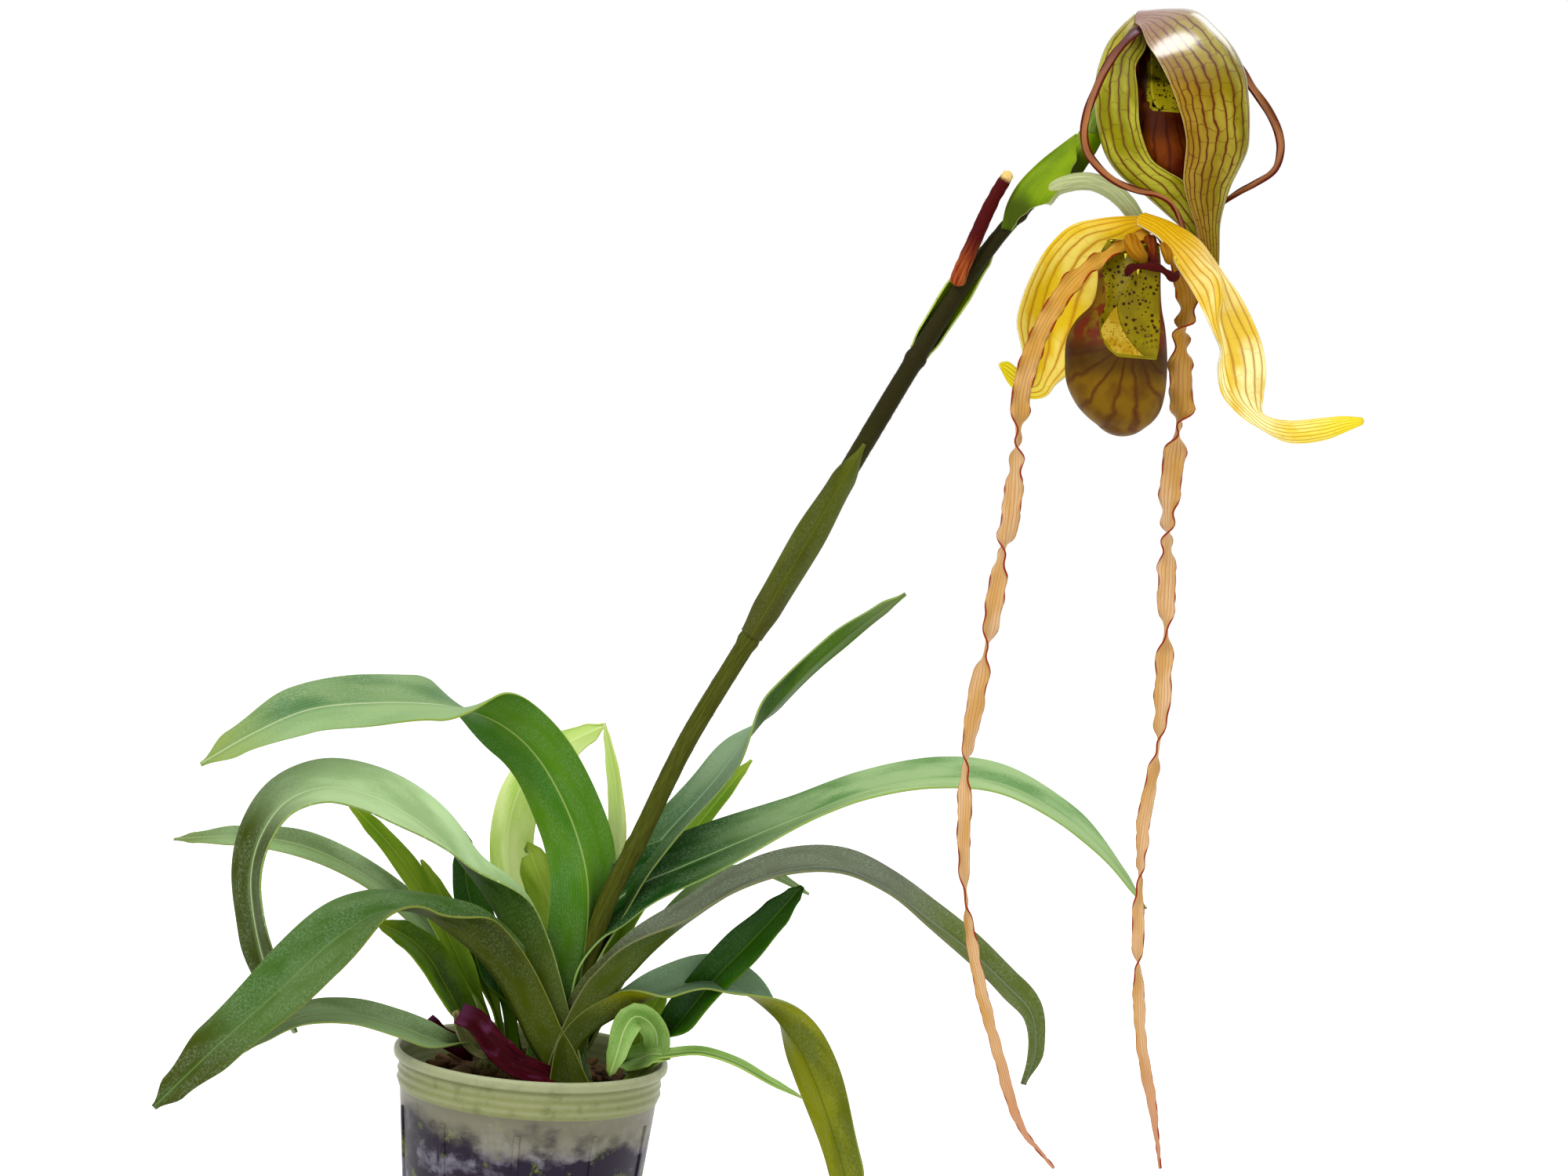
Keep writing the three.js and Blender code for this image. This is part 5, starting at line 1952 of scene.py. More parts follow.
LOWER_PETAL_RIGHT_HALF = (
    (0, 2.4), (0.06, 4.4), (0.13, 4.6), (0.2, 4.9), (0.27, 4.2), (0.37, 3.5), (0.5, 3.2), (0.65, 2.5),
    (0.9, 2.2), (1, 0.5),
)
LOWER_PETAL_RIGHT_ROLL = (
    (0, 60), (0.05, 90), (0.16, 270), (0.256, 450), (0.38, 630), (0.464, 810), (0.62, 990),
    (0.745, 1170), (0.811, 1350), (1, 1370),
)
LOWER_SEPAL_LEFT = rows("""
218.5 -58 451, 217 -57 454, 215.5 -56 457.2
212.4 -57 451.2, 210 -56 454.2, 208.5 -55 457.4
211.2 -56 446.7, 201.2 -55 450.7, 194.9 -53 455.3
205.8 -54 440.8, 192.1 -51 446.9, 185.1 -50 451.8
201.7 -52 431.4, 185.3 -47 438.5, 176.7 -47 442.6
199.7 -50 421.5, 181.5 -43 429, 171.9 -45 432.5
196.8 -49 411.2, 179.8 -41 419.4, 168.9 -44 422.1
192.9 -48 401.7, 178.9 -40 409.8, 167.9 -44 412.9
188.8 -47 393.7, 178.7 -41 401.2, 170.5 -45 404.3
184.8 -48 389.7, 178.4 -44 395.2, 172 -46 397.7
181.5 -49 385.2, 176.9 -47 389.6, 172.2 -48 394.4
174.8 -50 384, 171.7 -49 389.2, 168.6 -50 395.7
167.4 -51 388.3, 165.7 -51 393, 165.3 -51 397.6
162.8 -52 394.6, 162 -52 396.1, 162.5 -52 397
""")
LOWER_SEPAL_RIGHT = rows("""
214.2 -58 458.6, 212.2 -59 458.7, 210.4 -60 458, 209.3 -61 456.4, 209.6 -62 454
221.4 -58 456.9, 219.4 -59.5 456.7, 217.6 -61 455.6, 216 -62.5 453.8, 214 -63.5 451.8
229.6 -60 453, 227.1 -62 451.6, 225.2 -64 450.5, 222.7 -66 448.8, 218.4 -67 449
234.2 -62 449.5, 232.6 -64 448.5, 230.7 -67 446.5, 227.9 -70 444.4, 223.8 -72 441.4
238.2 -63 444.7, 237.8 -65 443.5, 235.5 -71 441.8, 233.4 -74 438.6, 229.2 -75 434.1
244.4 -62 437.5, 241.9 -66 436.7, 240.3 -75 437.1, 238.3 -77 434, 233.9 -77 427
251.3 -61 430.2, 244.3 -68 428.5, 242.6 -77 429.6, 240.1 -78 426.4, 237.3 -78 421.1
258.1 -60 420.5, 248.1 -68 420.4, 241.9 -76 422.4, 241.5 -77 419.3, 240.8 -76 415.4
262.6 -60 411.6, 253.5 -67 411.8, 245.4 -72 412.4, 244.9 -72 411.2, 244.5 -72 409.1
264.7 -60 402.1, 256.1 -66 402.4, 248.4 -69 403, 246.1 -69 402.8, 244.6 -69 402.1
264.1 -60 392.9, 257.7 -65 393.1, 252.3 -67 393.4, 249.6 -67 393.1, 247.3 -67 392.3
264 -61 386, 261.5 -64 386.5, 258.9 -65 386.6, 257.2 -65 386.2, 255.2 -65 384.8
268 -62 384.2, 267.2 -64 383.3, 266 -65 381.8, 265 -65 380.5, 263.6 -64 380.3
275.9 -62 384.3, 275.5 -64 382.5, 274.9 -65 380.4, 274.8 -65 378.3, 275 -63 376.1
286.9 -62 386.5, 287 -64 384.7, 287.1 -65 382.7, 287.6 -65 380.6, 288.4 -63 378.5
294.9 -62 387.8, 295.2 -63 386.3, 295.5 -64 385.2, 295.9 -64 383.7, 296.5 -63 382.2
302.5 -62 387.8, 302.8 -62 387.5, 303.2 -62 387, 303.2 -62 386.1, 302.7 -62 385.1
""")
UPPER_STACK = grid("""
210 -31 528 7 4, 212 -34 519 9.5 7, 214 -36 508 12.5 9.5, 217 -38 497 14 11, 220 -39 486 14 12,
221 -39 479 12 10.5, 222 -39 473.5 8.4 7.8
""")
UPPER_LOBES = rows("""
211 -49 499.5, 212 -48 504, 212 -46 512, 211 -40 526
215 -50 499.5, 212 -49 504, 211 -47 512, 211 -41 526
""")
UPPER_PETAL_LEFT = grid("""
207.5 -40 530.5, 202.5 -50 527, 196.5 -58 520, 191.5 -62 511, 188.5 -65 503, 186.3 -66 495,
185.7 -66 487, 187.5 -66 480, 193 -65 474, 200 -64 469.5, 208 -63 467, 216 -62 466, 222 -61 463,
226 -59 457, 229 -57 450
""")
UPPER_PETAL_RIGHT = grid("""
209 -24 532, 228 -18 528, 245 -20 521, 252 -28 512, 259 -36 502, 263 -40 494, 264 -42 488,
262 -44 480, 255 -44 474, 249 -42 470, 243 -40 465, 240 -38 460
""")
UPPER_SEPAL_LEFT = rows("""
204.5 -27 536, 203.6 -35 534.5, 208 -38 531
200.5 -28 530.7, 199 -45 529, 207.5 -47 522
196 -26 523.2, 194.2 -52 521.4, 203.9 -53 514.4
193.8 -25 515.3, 191.9 -55 513.3, 205 -54 507.6
193 -25 506.7, 191.1 -56 504.9, 206.3 -54 500.5
193.8 -26 498.3, 191.9 -56 496.8, 207.6 -53 493.7
195.7 -28 489.5, 194 -55 488.3, 209.9 -52 487.1
199.2 -30 480.4, 197.8 -53 479.5, 214 -51 479.6
205 -33 473.4, 203.8 -51 472.9, 220.5 -50 475.7
213.8 -35 467.4, 212.9 -48 467.1, 227.5 -50 472.3
222.5 -36 460.8, 221.7 -46 460.7, 232.6 -48 465.9
231.8 -36 453.3, 231.3 -43 453.2, 237.4 -45 457.2
236.5 -37 446.7, 236.2 -41 446.7, 240.9 -43 448.4
239.5 -38 438, 240 -41 438, 243 -42 438
""")
UPPER_SEPAL_RIGHT = rows("""
203.6 -40 531.6, 203.8 -36 535.6, 206.4 -30 537.9
205.4 -48 529, 214.3 -42 537.3, 215.7 -28 538.6
207.7 -55 523.6, 223.6 -52 536, 226.4 -26 538.3
211.1 -59 518.6, 230.9 -58 529.8, 234.6 -25 532.5
214.3 -60 512.9, 237.4 -61 522.9, 241.7 -24 525.7
217.2 -60 507.1, 242.4 -62 514.2, 247 -24 516.7
220.2 -60 500.8, 244.7 -61 505.2, 249.3 -24 507.4
223.4 -59 493.9, 246.3 -60 495.3, 250.7 -25 497.1
225.6 -58 487, 247.1 -57 486.7, 251 -26 488
226 -56 479.3, 245.8 -54 480.5, 249.1 -28 481.5
226.6 -54 471.3, 243.8 -50 473.1, 246.2 -31 473.7
229.5 -51 463.4, 242.6 -47 465.7, 244.4 -33 466.1
233.3 -48 455.3, 242.2 -44 457.2, 243.3 -35 457.4
236.2 -45 447.1, 243.2 -42 447.7, 244 -36 447.8
239 -43 438, 244 -41 438, 245 -37 438
""")
FLOWERS = (
    Flower(
        where="lower",
        ovary=Stalk((
            (174, -43, 460), (177.5, -45, 465.5), (184, -47, 468.5), (192, -48, 469.3),
            (200, -48, 466.5), (207, -47, 461), (212.5, -45, 453), (215, -44, 446),
        ), ((0, 3.4), (0.6, 3.5), (1, 2.8)), sides=24, pace=1.0),
        column=Stalk(((214.5, -60, 449), (215.4, -68, 445), (216, -76, 439.5)),
                     ((0, 3), (0.6, 2.0), (1, 2.2)), pace=0.8, bumps=0.3),
        shield=Stalk((
            (205.8, -80, 434.2), (206.8, -81, 437), (211, -82, 438.2), (216, -82, 438.6),
            (220.5, -81, 436.8), (223.6, -80, 435.2), (225.4, -79, 437.6),
        ), ((0, 1.3), (0.12, 1.7), (0.3, 1.0), (0.5, 1.9), (0.7, 1.2), (0.86, 1.9), (1, 1.0)),
            pace=0.5, bumps=0.4),
        cushions=(
            Stalk(((206, -70, 450), (208.5, -74, 444.5), (213, -76, 440.5)),
                  ((0, 2.4), (0.5, 3.4), (1, 2.2)), pace=0.8, bumps=0.2),
            Stalk(((219, -68, 448), (221, -72, 444), (222, -74, 440)),
                  ((0, 1.2), (0.5, 2.0), (1, 1.4)), pace=0.8, bumps=0.2),
        ),
        teeth=((204.7, -79, 441.5), (209.7, -82, 436.0), (223.6, -78, 442), (225, -78, 440.5)),
        pouch=Pouch(LOWER_STACK, front=-72.0, lip=404.0, drop=3.4, level=(18.0, 28.0),
                    open=(112.0, 62.0), lobes=LOWER_LOBES),
        petals=ribbons((LOWER_PETAL_LEFT, LOWER_PETAL_LEFT_HALF, LOWER_PETAL_LEFT_ROLL),
                       (LOWER_PETAL_RIGHT, LOWER_PETAL_RIGHT_HALF, LOWER_PETAL_RIGHT_ROLL),
                       fold=12, thickness=0.7, ripple=RIBBON_WAVE, pace=1.2, lanes=14),
        sepals={"left": Loft(LOWER_SEPAL_LEFT), "right": Loft(LOWER_SEPAL_RIGHT, lanes=48)},
        slots=("petal_tan", "sepal_gold", "pouch_ochre"),
        petal_dress=TAN_PETAL,
        sepal_dress={"left": GOLD_SEPAL, "right": AMBER_SEPAL},
        pouch_skins=(
            PouchSkin("pouch_ochre_outside", "604000 785800 342000 641c00 4a1800",
                      (209.0, 410.0), 404.0),
            SpotSkin("pouch_ochre_lobe", "7c6c00 8c7c00 d0c434 300404", (404.0, 420.0), share=0.95),
            # the inside's strong glow is painted light, for lamp light shining through the back wall
            SpotSkin("pouch_ochre_inside", "d0b030 e4cc54 f4e890 a86408", (402.0, 408.0),
                     cells=0.9, share=0.75, painted_glow=0.7),
        ),
        ovary_skin=StemSkin("ovary_gold", "a4ac74 c0c890 a4ac70 d4d8c0", 0.25),
    ),
    Flower(
        where="upper",
        ovary=Stalk(grid("190 -37 488, 194 -26 501, 200 -15 516, 206 -16 527, 210 -24 531"),
                    ((0, 2.6), (0.7, 3.0), (0.9, 3.4), (1, 3.6)), sides=24, pace=1.0),
        column=Stalk(((207, -27, 532), (210, -34, 525), (211, -40, 516)),
                     ((0, 3), (0.6, 2.4), (1, 3)), pace=0.8, bumps=0.3),
        shield=Stalk(((207, -36, 519), (211, -36, 520), (215, -35, 519)),
                     ((0, 1.6), (0.35, 1.3), (0.5, 1.6), (0.65, 1.3), (1, 1.6)), pace=0.6, bumps=0.3),
        cushions=(),
        teeth=(),
        pouch=Pouch(UPPER_STACK, front=-84.0, lip=499.0, drop=3.4, level=(20.0, 24.0),
                    open=(62.0, 75.0), lobes=UPPER_LOBES),
        petals=ribbons((UPPER_PETAL_LEFT, ((0, 1.8), (0.5, 1.45), (1, 0.9)), ((0, 60), (1, 120))),
                       (UPPER_PETAL_RIGHT, ((0, 2.0), (0.5, 1.6), (1, 1.0)), ((0, 60), (1, 120))),
                       fold=24, rounded=True, thickness=0.9, pace=1.0, lanes=10,
                       ripple=Ripple(0.25, 5.0, 0.0, fray=0.06)),
        sepals={"right": Loft(UPPER_SEPAL_RIGHT, lanes=40), "left": Loft(UPPER_SEPAL_LEFT)},
        slots=("petal_dark", "sepal_green", "pouch_maroon"),
        petal_dress=DARK_PETAL,
        sepal_dress={"left": LEFT_SEPAL, "right": GREEN_SEPAL},
        pouch_skins=(
            PouchSkin("pouch_maroon_outside", "5c2004 743808 2c040c 30040c 38060c",
                      (214.0, 520.0), 496.0, 20.0),
            SpotSkin("pouch_maroon_lobe", "3c3408 706810 b8a820 300804", (511.0, 500.0), cells=0.5,
                     dark=(210.0, 211.6)),
            SpotSkin("pouch_maroon_inside", "605808 807810 5a2008 3c0a06", (500.0, 506.0)),
        ),
        ovary_skin=StemSkin("ovary_green", "5a7a1c 7f9a3c 8a9a40 c4cfa8", 0.3),
    ),
)


# ---- leaves


LeafKind = Enum(
    "LeafKind", "LOW CURLED HIGH ARCHED YELLOWING DUSTY INNER DARK YOUNG SHEER PALE BROAD LIT")


def leaf_dress(kind: LeafKind, upper: str, under: str, dust: float,
               settings: Mapping[str, Any] = {}, below: Mapping[str, Any] = {}
               ) -> tuple[LeafKind, Dress]:
    """Finishes of one kind of leaf.

    Args:
        kind: The kind.
        upper: Codes of the upper face's six colours.
        under: The same for the under face.
        dust: Dust and bloom on the upper face, which also stand in for painted sheen.
        settings: Other settings of the upper face.
        below: Other settings of the under face.

    Returns:
        The kind and its finishes.
    """
    name, codes = f"leaf_{kind.name.lower()}", upper.split()
    return kind, Dress(
        LeafSkin(f"{name}_upper", upper, dust=dust, **settings),
        LeafSkin(f"{name}_under", under, dust=0.5 * dust, **below),
        EdgeSkin(f"{name}_margin", f"{codes[-1]} {codes[1]}"))


# half and halved give each kind painted light and shade on one half of a face
LEAF_DRESSES = dict([
    leaf_dress(LeafKind.LOW, "406424 587840 5a6a44 404a00 6c8850 788438",
        "283200 444e08 4a560c 404a00 5c6420 8a7a44", 0.25,
        {"half": "4c6420", "painted_half_shading": 0.5, "tail": 0.76}),
    leaf_dress(LeafKind.CURLED, "98b87c c0e0a4 3c5c18 3c480c cce0a8 8ca458",
        "24400a 3c5c14 4a581c 2c5004 587028 8a8a58", 0.25,
        {"half": "bcd89c", "painted_half_shading": 0.45, "tail": 0.58}),
    leaf_dress(LeafKind.HIGH, "547c4c 7c9c64 44680e 8ca04c c4d4a0 98b04c",
        "387004 4c7c08 3c6004 5c8824 a8bc68 84a43c", 0.3,
        {"half": "a0c080", "painted_half_shading": 0.5}, {"half": "4c7c08", "painted_half_shading": 0.5}),
    leaf_dress(LeafKind.ARCHED, "444c38 5c6650 4c5418 566424 84907c 747850",
        "384804 4c5c14 4a5618 46600c 5c6a28 8a7c50", 0.25,
        {"half": "6c705c", "painted_half_shading": 0.4, "tail": 0.62}),
    leaf_dress(LeafKind.YELLOWING, "547450 7c9c74 5c6c40 8c8c24 8ca07c 8a9848",
        "5c6408 848814 3e4a08 84840c 50580c 8a6c3c", 0.25,
        {"half": "7c9c74", "painted_half_shading": 0.4}, {"half": "848818", "painted_half_shading": 0.4}),
    leaf_dress(LeafKind.DUSTY, "60904c 9cbc80 1c440c 90ac6c b4cc94 98b45c",
        "3c5c0c 648424 54701c 6c8c34 8cac50 8cac48", 0.22,
        {"half": "b0cc88", "painted_half_shading": -0.5, "reach": 0.6}),
    leaf_dress(LeafKind.INNER, "58805c 84a078 2c5018 4c6410 98a888 8ca454",
        "2c4c04 486c10 48640c 788c54 7c9444 94a45c", 0.22,
        {"half": "8c9c80", "painted_half_shading": -0.5, "reach": 0.7}),
    leaf_dress(LeafKind.DARK, "103804 244c08 3c5c10 2c5008 5c7c20 4c7014",
        "204404 386004 486c10 3c600c 648430 587c20", 0.08,
        {"half": "346410", "painted_half_shading": -0.6, "gloss": 0.34}),
    leaf_dress(LeafKind.YOUNG, "5c8828 98bc68 788c38 88a44c c0d490 a4bc5c",
        "74983c b0c87c 788c38 94a054 b8cc88 a8bc64", 0.1),
    leaf_dress(LeafKind.SHEER, "5c8404 84a424 607c18 8ca42c 98b448 84a42c",
        "6c9414 a0bc44 648018 98b03c acc458 94b03c", 0.05),
    leaf_dress(LeafKind.PALE, "607844 88a470 40500c 788c4c 9cac7c 8c9c50",
        "4c6414 6c882c 40500c 7c9044 8ca054 84984c", 0.25, {"half": "8cac68", "painted_half_shading": 0.4}),
    leaf_dress(LeafKind.LIT, "c0e06c e4f4a8 9cc44c c8e080 e8f4b8 ccdc74",
        "b0d45c dcf098 8cb440 c0dc78 e0f0a8 c4dc68", 0.0),
    leaf_dress(LeafKind.BROAD, "2c4404 587c0c 404c0c 6c8418 7c942c 7c982c",
        "384c04 648418 404c0c 6c8418 849c38 7c982c", 0.1),
])


@dataclass
class Leaf:
    """Strap leaf, folded shut at the crown.

    half is its half width at the widest, and base the share of that at the crown. Its fold goes
    from closed to spread between the shares of the length in opens.
    """

    place: str
    kind: LeafKind
    side: Side
    half: float
    base: float
    closed: float
    spread: float
    roll: Keys
    points: Points
    opens: tuple[float, float] = (0.14, 0.32)
    lean: float = 0.0

    def build(self, index: int) -> None:
        """Builds the leaf, whose number sets the waves of its margins.

        Args:
            index: Number of the leaf.
        """
        start, end = self.opens
        shares = (
            (0.0, self.base), (start, self.base), (max(0.3, start + 0.1), 1.06), (0.65, 1.04),
            (0.85, 0.76), (0.95, 0.42), (1.0, 0.05))
        fold = (
            (0.0, self.closed), (start, self.closed), (end, self.spread), (1.0, 0.6 * self.spread))
        size = self.half / 13.0
        ripple = Ripple(0.7 * size, 2.2, 1.3 * index, fray=0.03, curl=0.8 * size)
        blade = Blade(
            self.points, tuple((place, self.half * share) for place, share in shares), self.side,
            self.lean, fold, self.roll, thickness=0.9, ripple=ripple, pace=2.0, lanes=20,
            root=7.0)
        slot = "leaf_young" if self.place in YOUNG_LEAVES else "leaf"
        set_blade(f"leaf_{self.place}", slot, blade, LEAF_DRESSES[self.kind])


YOUNG_LEAVES = (
    "right_yellow", "back_yellow", "right_curled", "right_stub", "left_narrow", "back_pointed",
)
LEAVES = (
    Leaf("front_left_low", LeafKind.LOW, Side.LEFT, 13.5, 1.3, 74, 24,
         ((0, 0), (0.42, 0), (0.62, 66), (1, 74)), opens=(0.3, 0.42), points=grid("""
    9 -18 92, 5.4 -19 99.5, -0.1 -20 107.8, -6 -21 118.5, -13.5 -24 131, -22 -29 142, -33 -36 152,
    -47 -43 161, -60 -50 161, -76 -59 151, -95 -67 131, -116 -72 109, -140 -76 82""")),
    Leaf("front_left_curled", LeafKind.CURLED, Side.LEFT, 12.5, 1.32, 72, 26,
         ((0, 0), (0.3, 0), (0.5, 38), (0.8, 44), (1, 60)), opens=(0.24, 0.36), points=grid("""
    10 -16 92, 6.6 -16.5 102.6, 2 -17 115.5, -3.5 -18 130, -9.8 -19.5 145, -18 -22 160.5,
    -27 -25 172.5, -39 -28 186, -55 -31 197.5, -72 -36 205, -88 -43 207, -101 -48 201, -109 -51 188,
    -112 -51 172, -109 -48 150, -102 -44 128, -92 -40 108""")),
    Leaf("front_left_high", LeafKind.HIGH, Side.LEFT, 14.3, 1.2, 48, 22,
         ((0, -135), (0.18, -135), (0.36, -96), (0.5, -80), (0.67, 32), (0.82, 58), (1, 62)),
         opens=(0.16, 0.34), points=grid("""
    15 -15 95, 17 -14 120, 18.6 -13 143.9, 18.8 -11 160, 17 -8 175, 11 0 191, 2 5 207, -8 8 220,
    -18 6 229, -30 -1 236, -46 -14 240, -70 -31 241, -95 -46 238, -115 -55 228, -134 -60 215""")),
    Leaf("front_right_mid", LeafKind.ARCHED, Side.RIGHT, 12, 1.15, 70, 26,
         ((0, 0), (0.1, 10), (0.4, 16), (0.62, 14), (0.8, 30), (1, 36)), opens=(0.2, 0.34), lean=-16,
         points=grid("""
    19 -17 92, 20.5 -17.5 102, 24 -18.5 115, 30 -21 128.5, 38.1 -26 139.5, 47 -30 151.5, 60 -32 165,
    80 -34 181, 100 -35 190, 119 -36 192, 137 -37 186, 154 -38 176, 173 -39 164, 187 -40 153,
    197 -41 144, 200 -41 130, 197 -41 116""")),
    Leaf("front_right_low", LeafKind.YELLOWING, Side.RIGHT, 11, 0.88, 72, 28,
         ((0, 0), (0.18, 0), (0.3, 30), (0.4, 30), (0.62, -62), (1, -70)), opens=(0.2, 0.3), lean=-22,
         points=grid("""
    17.6 -20 90, 18.4 -20.5 99, 20.2 -21 108, 26 -20 115.5, 36 -17 122.5, 54 -13 133, 70 -10 138.5,
    84 -10 135, 96 -11 128, 107 -14 118, 115 -18 106, 124 -21 87, 132 -23 66, 138 -24 44""")),
    Leaf("front_right_high", LeafKind.DUSTY, Side.RIGHT, 13, 1.0, 60, 24,
         ((0, 30), (0.12, 50), (0.2, 62), (0.32, 46), (0.5, 22), (1, 20)), opens=(0.1, 0.22), lean=25,
         points=grid("""
    20 -5 95, 18 -4 120, 17.8 -4 143.5, 21 -4 156, 30 -3 165.5, 40 -3 173, 53 -2 179.5, 74 1 190,
    99 6 202, 127 9 215, 155 12 222, 181 15 222, 206 17 212, 228 19 196, 249 20 173""")),
    Leaf("front_right_inner", LeafKind.INNER, Side.RIGHT, 9, 1.25, 68, 26,
         ((0, 0), (0.16, 54), (0.56, 44), (0.72, -34), (1, -40)), lean=20, points=grid("""
    22.5 -6 95, 23 -5 124, 27 -3 150, 34 0 172, 47 5 192, 63 11 212, 76 16 231, 87 20 246,
    100 22 262, 116 24 278, 137 26 296""")),
    Leaf("right_creased", LeafKind.DARK, Side.RIGHT, 9, 0.75, 66, 34, ((0, 0), (0.3, 60), (1, 66)),
         points=grid("""
    48 2 100, 52 -4 108, 60 -11 120, 72 -17 139, 88 -23 160, 104 -28 182""")),
    Leaf("right_curled", LeafKind.YOUNG, Side.LEFT, 5.6, 0.6, 30, 20,
         ((0, 110), (0.4, 100), (0.6, 84), (1, 84)), opens=(0.1, 0.4), points=grid("""
    44 -10 96, 48.5 -12.5 102.5, 51.3 -15.5 109.5, 50.4 -18.5 116.5, 46 -21.5 121.8, 41.2 -24.5 123,
    38 -26.5 118, 36 -28 109, 33.7 -29 99""")),
    Leaf("right_thin", LeafKind.YOUNG, Side.RIGHT, 2.6, 1.2, 36, 24, 30, points=grid("""
    41 -5 100, 48 -14 104, 57 -20 108, 69 -25 111, 83 -29 109, 98 -32 103, 111 -34 98""")),
    Leaf("right_yellow", LeafKind.SHEER, Side.RIGHT, 6, 0.84, 56, 24, 60, points=grid("""
    44 5 100, 44 9 108, 47 12 118, 52 13 129""")),
    Leaf("right_stub", LeafKind.YOUNG, Side.RIGHT, 6, 1.02, 56, 30, 50, points=grid("""
    39 -5 100, 44 -12 103, 51 -17 107, 57 -19 106""")),
    Leaf("left_narrow", LeafKind.SHEER, Side.LEFT, 5.2, 0.75, 60, 28, ((0, 0), (0.3, 60), (1, 66)),
         lean=14, points=grid("""
    -17 3 100, -23 4 114, -33 4 134, -46 2 155, -62 0 175, -85 0 195""")),
    Leaf("left_long", LeafKind.PALE, Side.LEFT, 6.6, 0.75, 60, 24, ((0, 0), (0.3, 44), (1, 48)),
         lean=28, points=grid("""
    -21 8 100, -28 11 115, -43 14 139, -62 18 154, -84 20 165, -107 21 171, -132 20 171,
    -159 17 167""")),
    Leaf("left_small", LeafKind.SHEER, Side.LEFT, 4, 0.75, 60, 26, 50, points=grid("""
    -13 8 100, -22 11 125, -38 11 152, -52 11 173""")),
    Leaf("left_broad", LeafKind.BROAD, Side.LEFT, 8, 0.75, 60, 26, ((0, 0), (0.4, 40), (1, 50)),
         points=grid("""
    -20 0 100, -27 -5 110, -36 -10 125, -44 -14 138, -53 -17 146, -64 -20 151""")),
    Leaf("left_low", LeafKind.PALE, Side.LEFT, 6.6, 0.75, 60, 24, ((0, 0), (0.35, 40), (1, 40)),
         lean=-8, points=grid("""
    -20 -1 100, -27 -12 102, -37 -23 106, -52 -33 113, -70 -40 118, -88 -45 117, -103 -48 109,
    -114 -50 100""")),
    Leaf("left_inner", LeafKind.DARK, Side.LEFT, 8, 0.75, 60, 24, ((0, 0), (0.4, 50), (1, 60)),
         points=grid("""
    -10 6 100, -14 10 115, -23 14 138, -33 17 162, -36 18 185""")),
    Leaf("back_arched", LeafKind.LIT, Side.LEFT, 11, 0.75, 60, 22,
         ((0, 0), (0.3, -60), (0.6, -60), (1, -60)), lean=14, points=grid("""
    7 20 100, -5 25 122, -15 30 156, -19 33 184, -14 35 205, -1 37 219, 16.5 38 229.5""")),
    Leaf("back_yellow", LeafKind.SHEER, Side.LEFT, 10, 0.7, 50, 14,
         ((0, 0), (0.3, -70), (0.75, -84), (1, -84)), points=grid("""
    14 14 95, 12 15 120, 7 15 143, 0 15 163, -5 15 173, -8 18 179, -9.5 23 178""")),
    Leaf("back_upright", LeafKind.LIT, Side.RIGHT, 5, 0.75, 60, 30, 50, lean=10, points=grid("""
    17 22 100, 23 26 143, 28 28 179, 24 29 208, 17 30 232""")),
    Leaf("back_pointed", LeafKind.SHEER, Side.RIGHT, 6, 0.75, 60, 30, 50, lean=18, points=grid("""
    20 22 100, 34 28 150, 51 31 180, 66 33 202, 79 35 220""")),
    Leaf("back_thin", LeafKind.PALE, Side.RIGHT, 3.5, 0.75, 60, 26, 40, lean=24, points=grid("""
    23 24 100, 44 30 145, 65 33 169, 87 36 174, 108 38 164""")),
)


PAPER_PURPLE = PaperSkin("paper_purple", "2a000a 541020 683454")
PAPER_GREEN = PaperSkin("paper_green", "6d7440 a4a468 b89c68")
SHEATHS = tuple(
    Bract(f"sheath_{name}", slot, half, fold, roll, grid(points), Dress(skin, skin, skin),
          rounded=False, thickness=0.7, pace=1.0, ripple=Ripple(0.6, 2.4, 0.7, fray=0.12))
    for name, slot, half, fold, roll, points, skin in (
        ("purple_front", "sheath_purple", ((0, 4), (0.45, 6.6), (1, 5)), 24, 58,
         "12 -22 94, 4 -24 96.5, -5 -25.5 99.5, -12 -25.5 104.5, -18 -24 111, -23 -22 115, -29 -21 117",
         PAPER_PURPLE),
        ("purple_back", "sheath_purple", ((0, 5), (1, 4)), 20, 60,
         "-24 0 98, -31 -5 101, -38 -9 106, -43 -11 111", PAPER_PURPLE),
        ("green_small", "sheath_green", ((0, 4), (0.6, 4), (1, 1.4)), 26, 60,
         "-18 -2 99, -23 -13 103, -28 -17 110, -31 -19 118", PAPER_GREEN),
    ))


# ---- studio


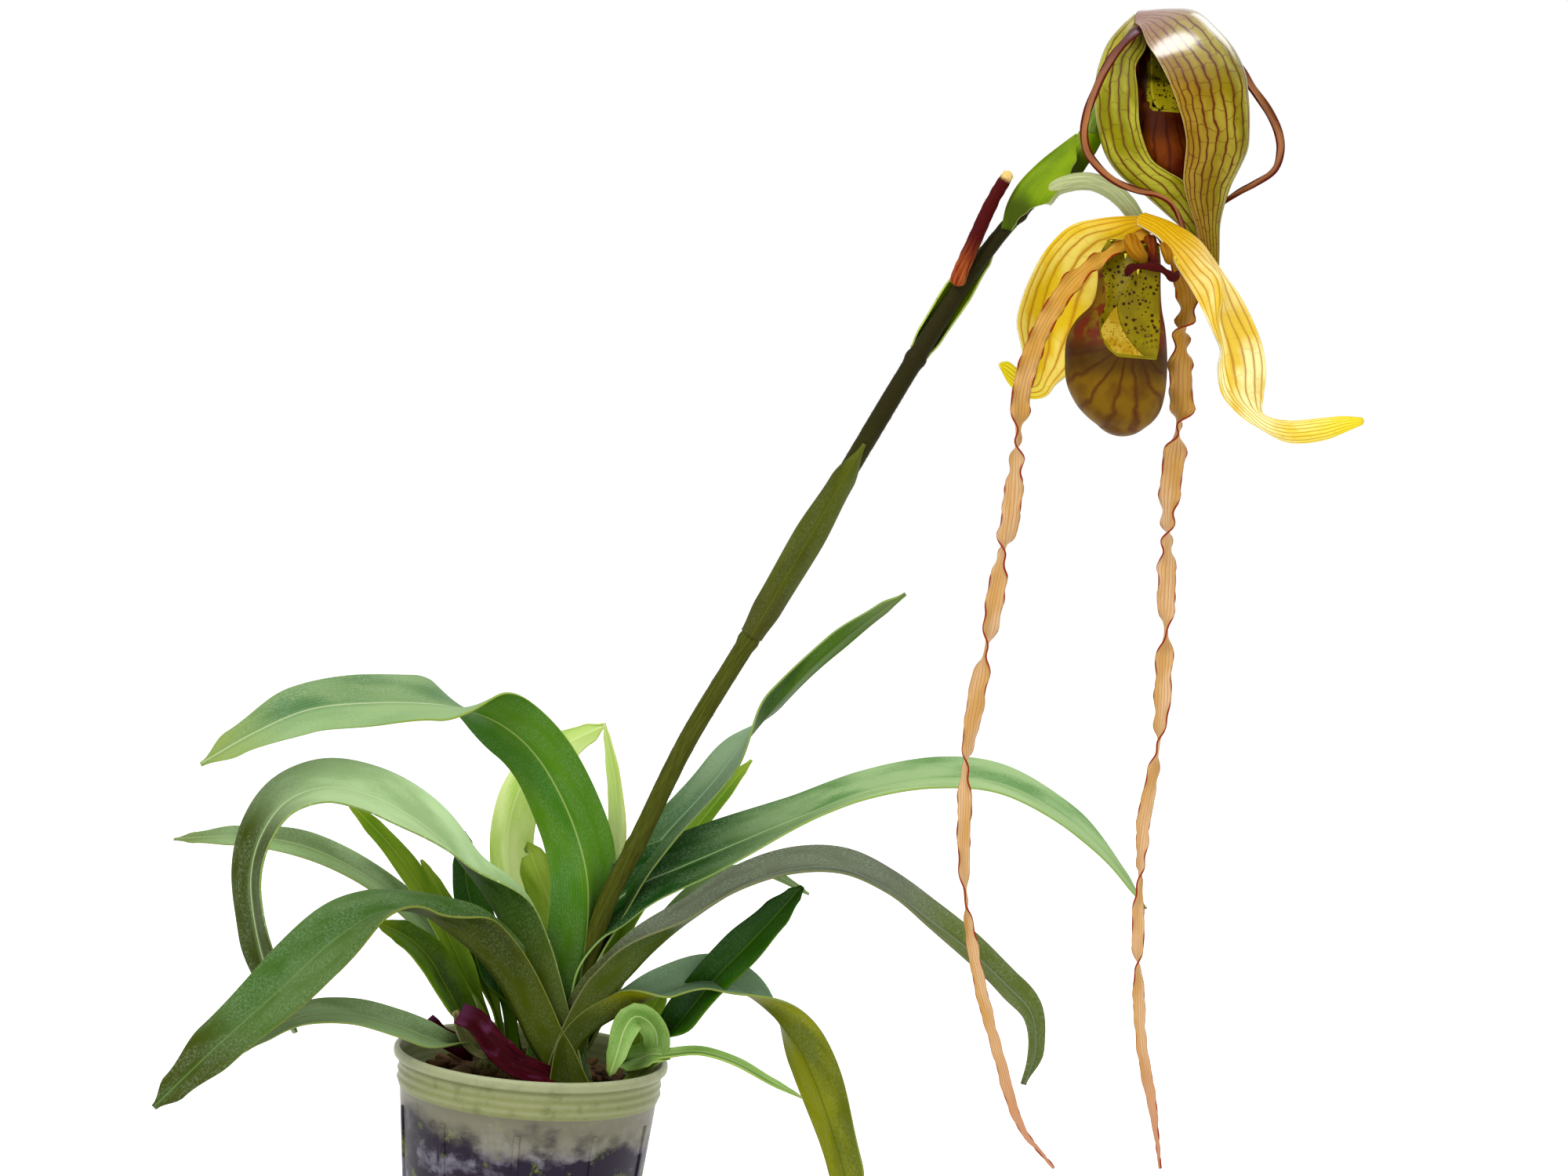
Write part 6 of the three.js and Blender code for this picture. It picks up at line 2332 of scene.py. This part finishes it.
@dataclass
class Studio:
    """Floor, lights and camera, which looks down by pitch and is turned about its axis by roll."""

    eye: Point = (86.509, -1488.671, 425.578)
    pitch: float = 4.9
    roll: float = 4.9
    lens: float = 85.0
    ambient: float = 1.0
    aim: Point = (0.06, 0.0, 0.28)
    lamps: tuple[tuple[str, Point, float, float], ...] = (
        ("key_softbox", (-0.9, -1.4, 1.9), 1.3, 46.0),
        ("fill_softbox", (1.5, -1.1, 0.9), 1.2, 8.0),
        ("back_softbox", (0.95, 0.75, 1.75), 1.2, 16.0))

    def camera(self) -> None:
        """Creates the camera and makes it the scene's."""
        data = bpy.data.cameras.new("studio_camera")
        data.lens = self.lens
        data.sensor_width = 36.0
        data.clip_start = 0.05
        data.clip_end = 60.0
        camera = bpy.data.objects.new("studio_camera", data)
        bpy.context.scene.collection.objects.link(camera)
        pitch, roll = math.radians(self.pitch), math.radians(self.roll)
        ahead = Vector((0.0, math.cos(pitch), -math.sin(pitch)))
        up = Vector((0.0, math.sin(pitch), math.cos(pitch)))
        side = Vector((1.0, 0.0, 0.0))
        across = side * math.cos(roll) + up * math.sin(roll)
        rise = up * math.cos(roll) - side * math.sin(roll)
        turn = Matrix((across, rise, -ahead)).transposed().to_4x4()
        camera.matrix_world = Matrix.Translation(Vector(self.eye) * MM) @ turn
        bpy.context.scene.camera = camera

    def floor(self) -> None:
        """Lays the plain pale floor."""
        mesh = bmesh.new()
        bmesh.ops.create_grid(mesh, x_segments=1, y_segments=1, size=15.0)
        data = bpy.data.meshes.new("studio_floor")
        mesh.to_mesh(data)
        mesh.free()
        data.materials.append(FloorSkin("floor_pale", "").material())
        floor = bpy.data.objects.new("studio_floor", data)
        bpy.context.scene.collection.objects.link(floor)

    def lamp(self, name: str, place: Point, size: float, power: float) -> None:
        """Adds a soft square lamp that points at the plant.

        Args:
            name: Its name.
            place: Where it hangs, in metres.
            size: Its side, in metres.
            power: Watts.
        """
        data = bpy.data.lights.new(name, "AREA")
        data.size = size
        data.energy = power
        lamp = bpy.data.objects.new(name, data)
        lamp.location = place
        lamp.rotation_euler = (Vector(self.aim) - Vector(place)).to_track_quat("-Z", "Y").to_euler()
        bpy.context.scene.collection.objects.link(lamp)

    def sky(self) -> None:
        """Sets a plain pale surround."""
        world = bpy.data.worlds.new("studio_surround")
        world.use_nodes = True
        shade = world.node_tree.nodes["Background"]
        shade.inputs["Color"].default_value = (1.0, 1.0, 1.0, 1.0)
        shade.inputs["Strength"].default_value = self.ambient
        bpy.context.scene.world = world

    def build(self) -> None:
        """Builds the studio."""
        bpy.context.scene.view_settings.view_transform = "Standard"
        self.camera()
        self.floor()
        self.sky()
        for lamp in self.lamps:
            self.lamp(*lamp)


# ---- main


def write_sizes() -> None:
    """Updates the view layer.
    """
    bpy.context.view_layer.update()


def main() -> None:
    """Builds the orchid and its studio in order."""
    logging.basicConfig(level=logging.INFO, format="%(message)s")
    Studio().build()
    pot = Pot()
    pot.build()
    Bed(pot).build()
    Rhizome().build()
    FlowerStem().build()
    for flower in FLOWERS:
        flower.build()
    for index, leaf in enumerate(LEAVES):
        leaf.build(index)
    for sheath in SHEATHS:
        sheath.build()
    write_sizes()


if __name__ == "__main__":
    main()
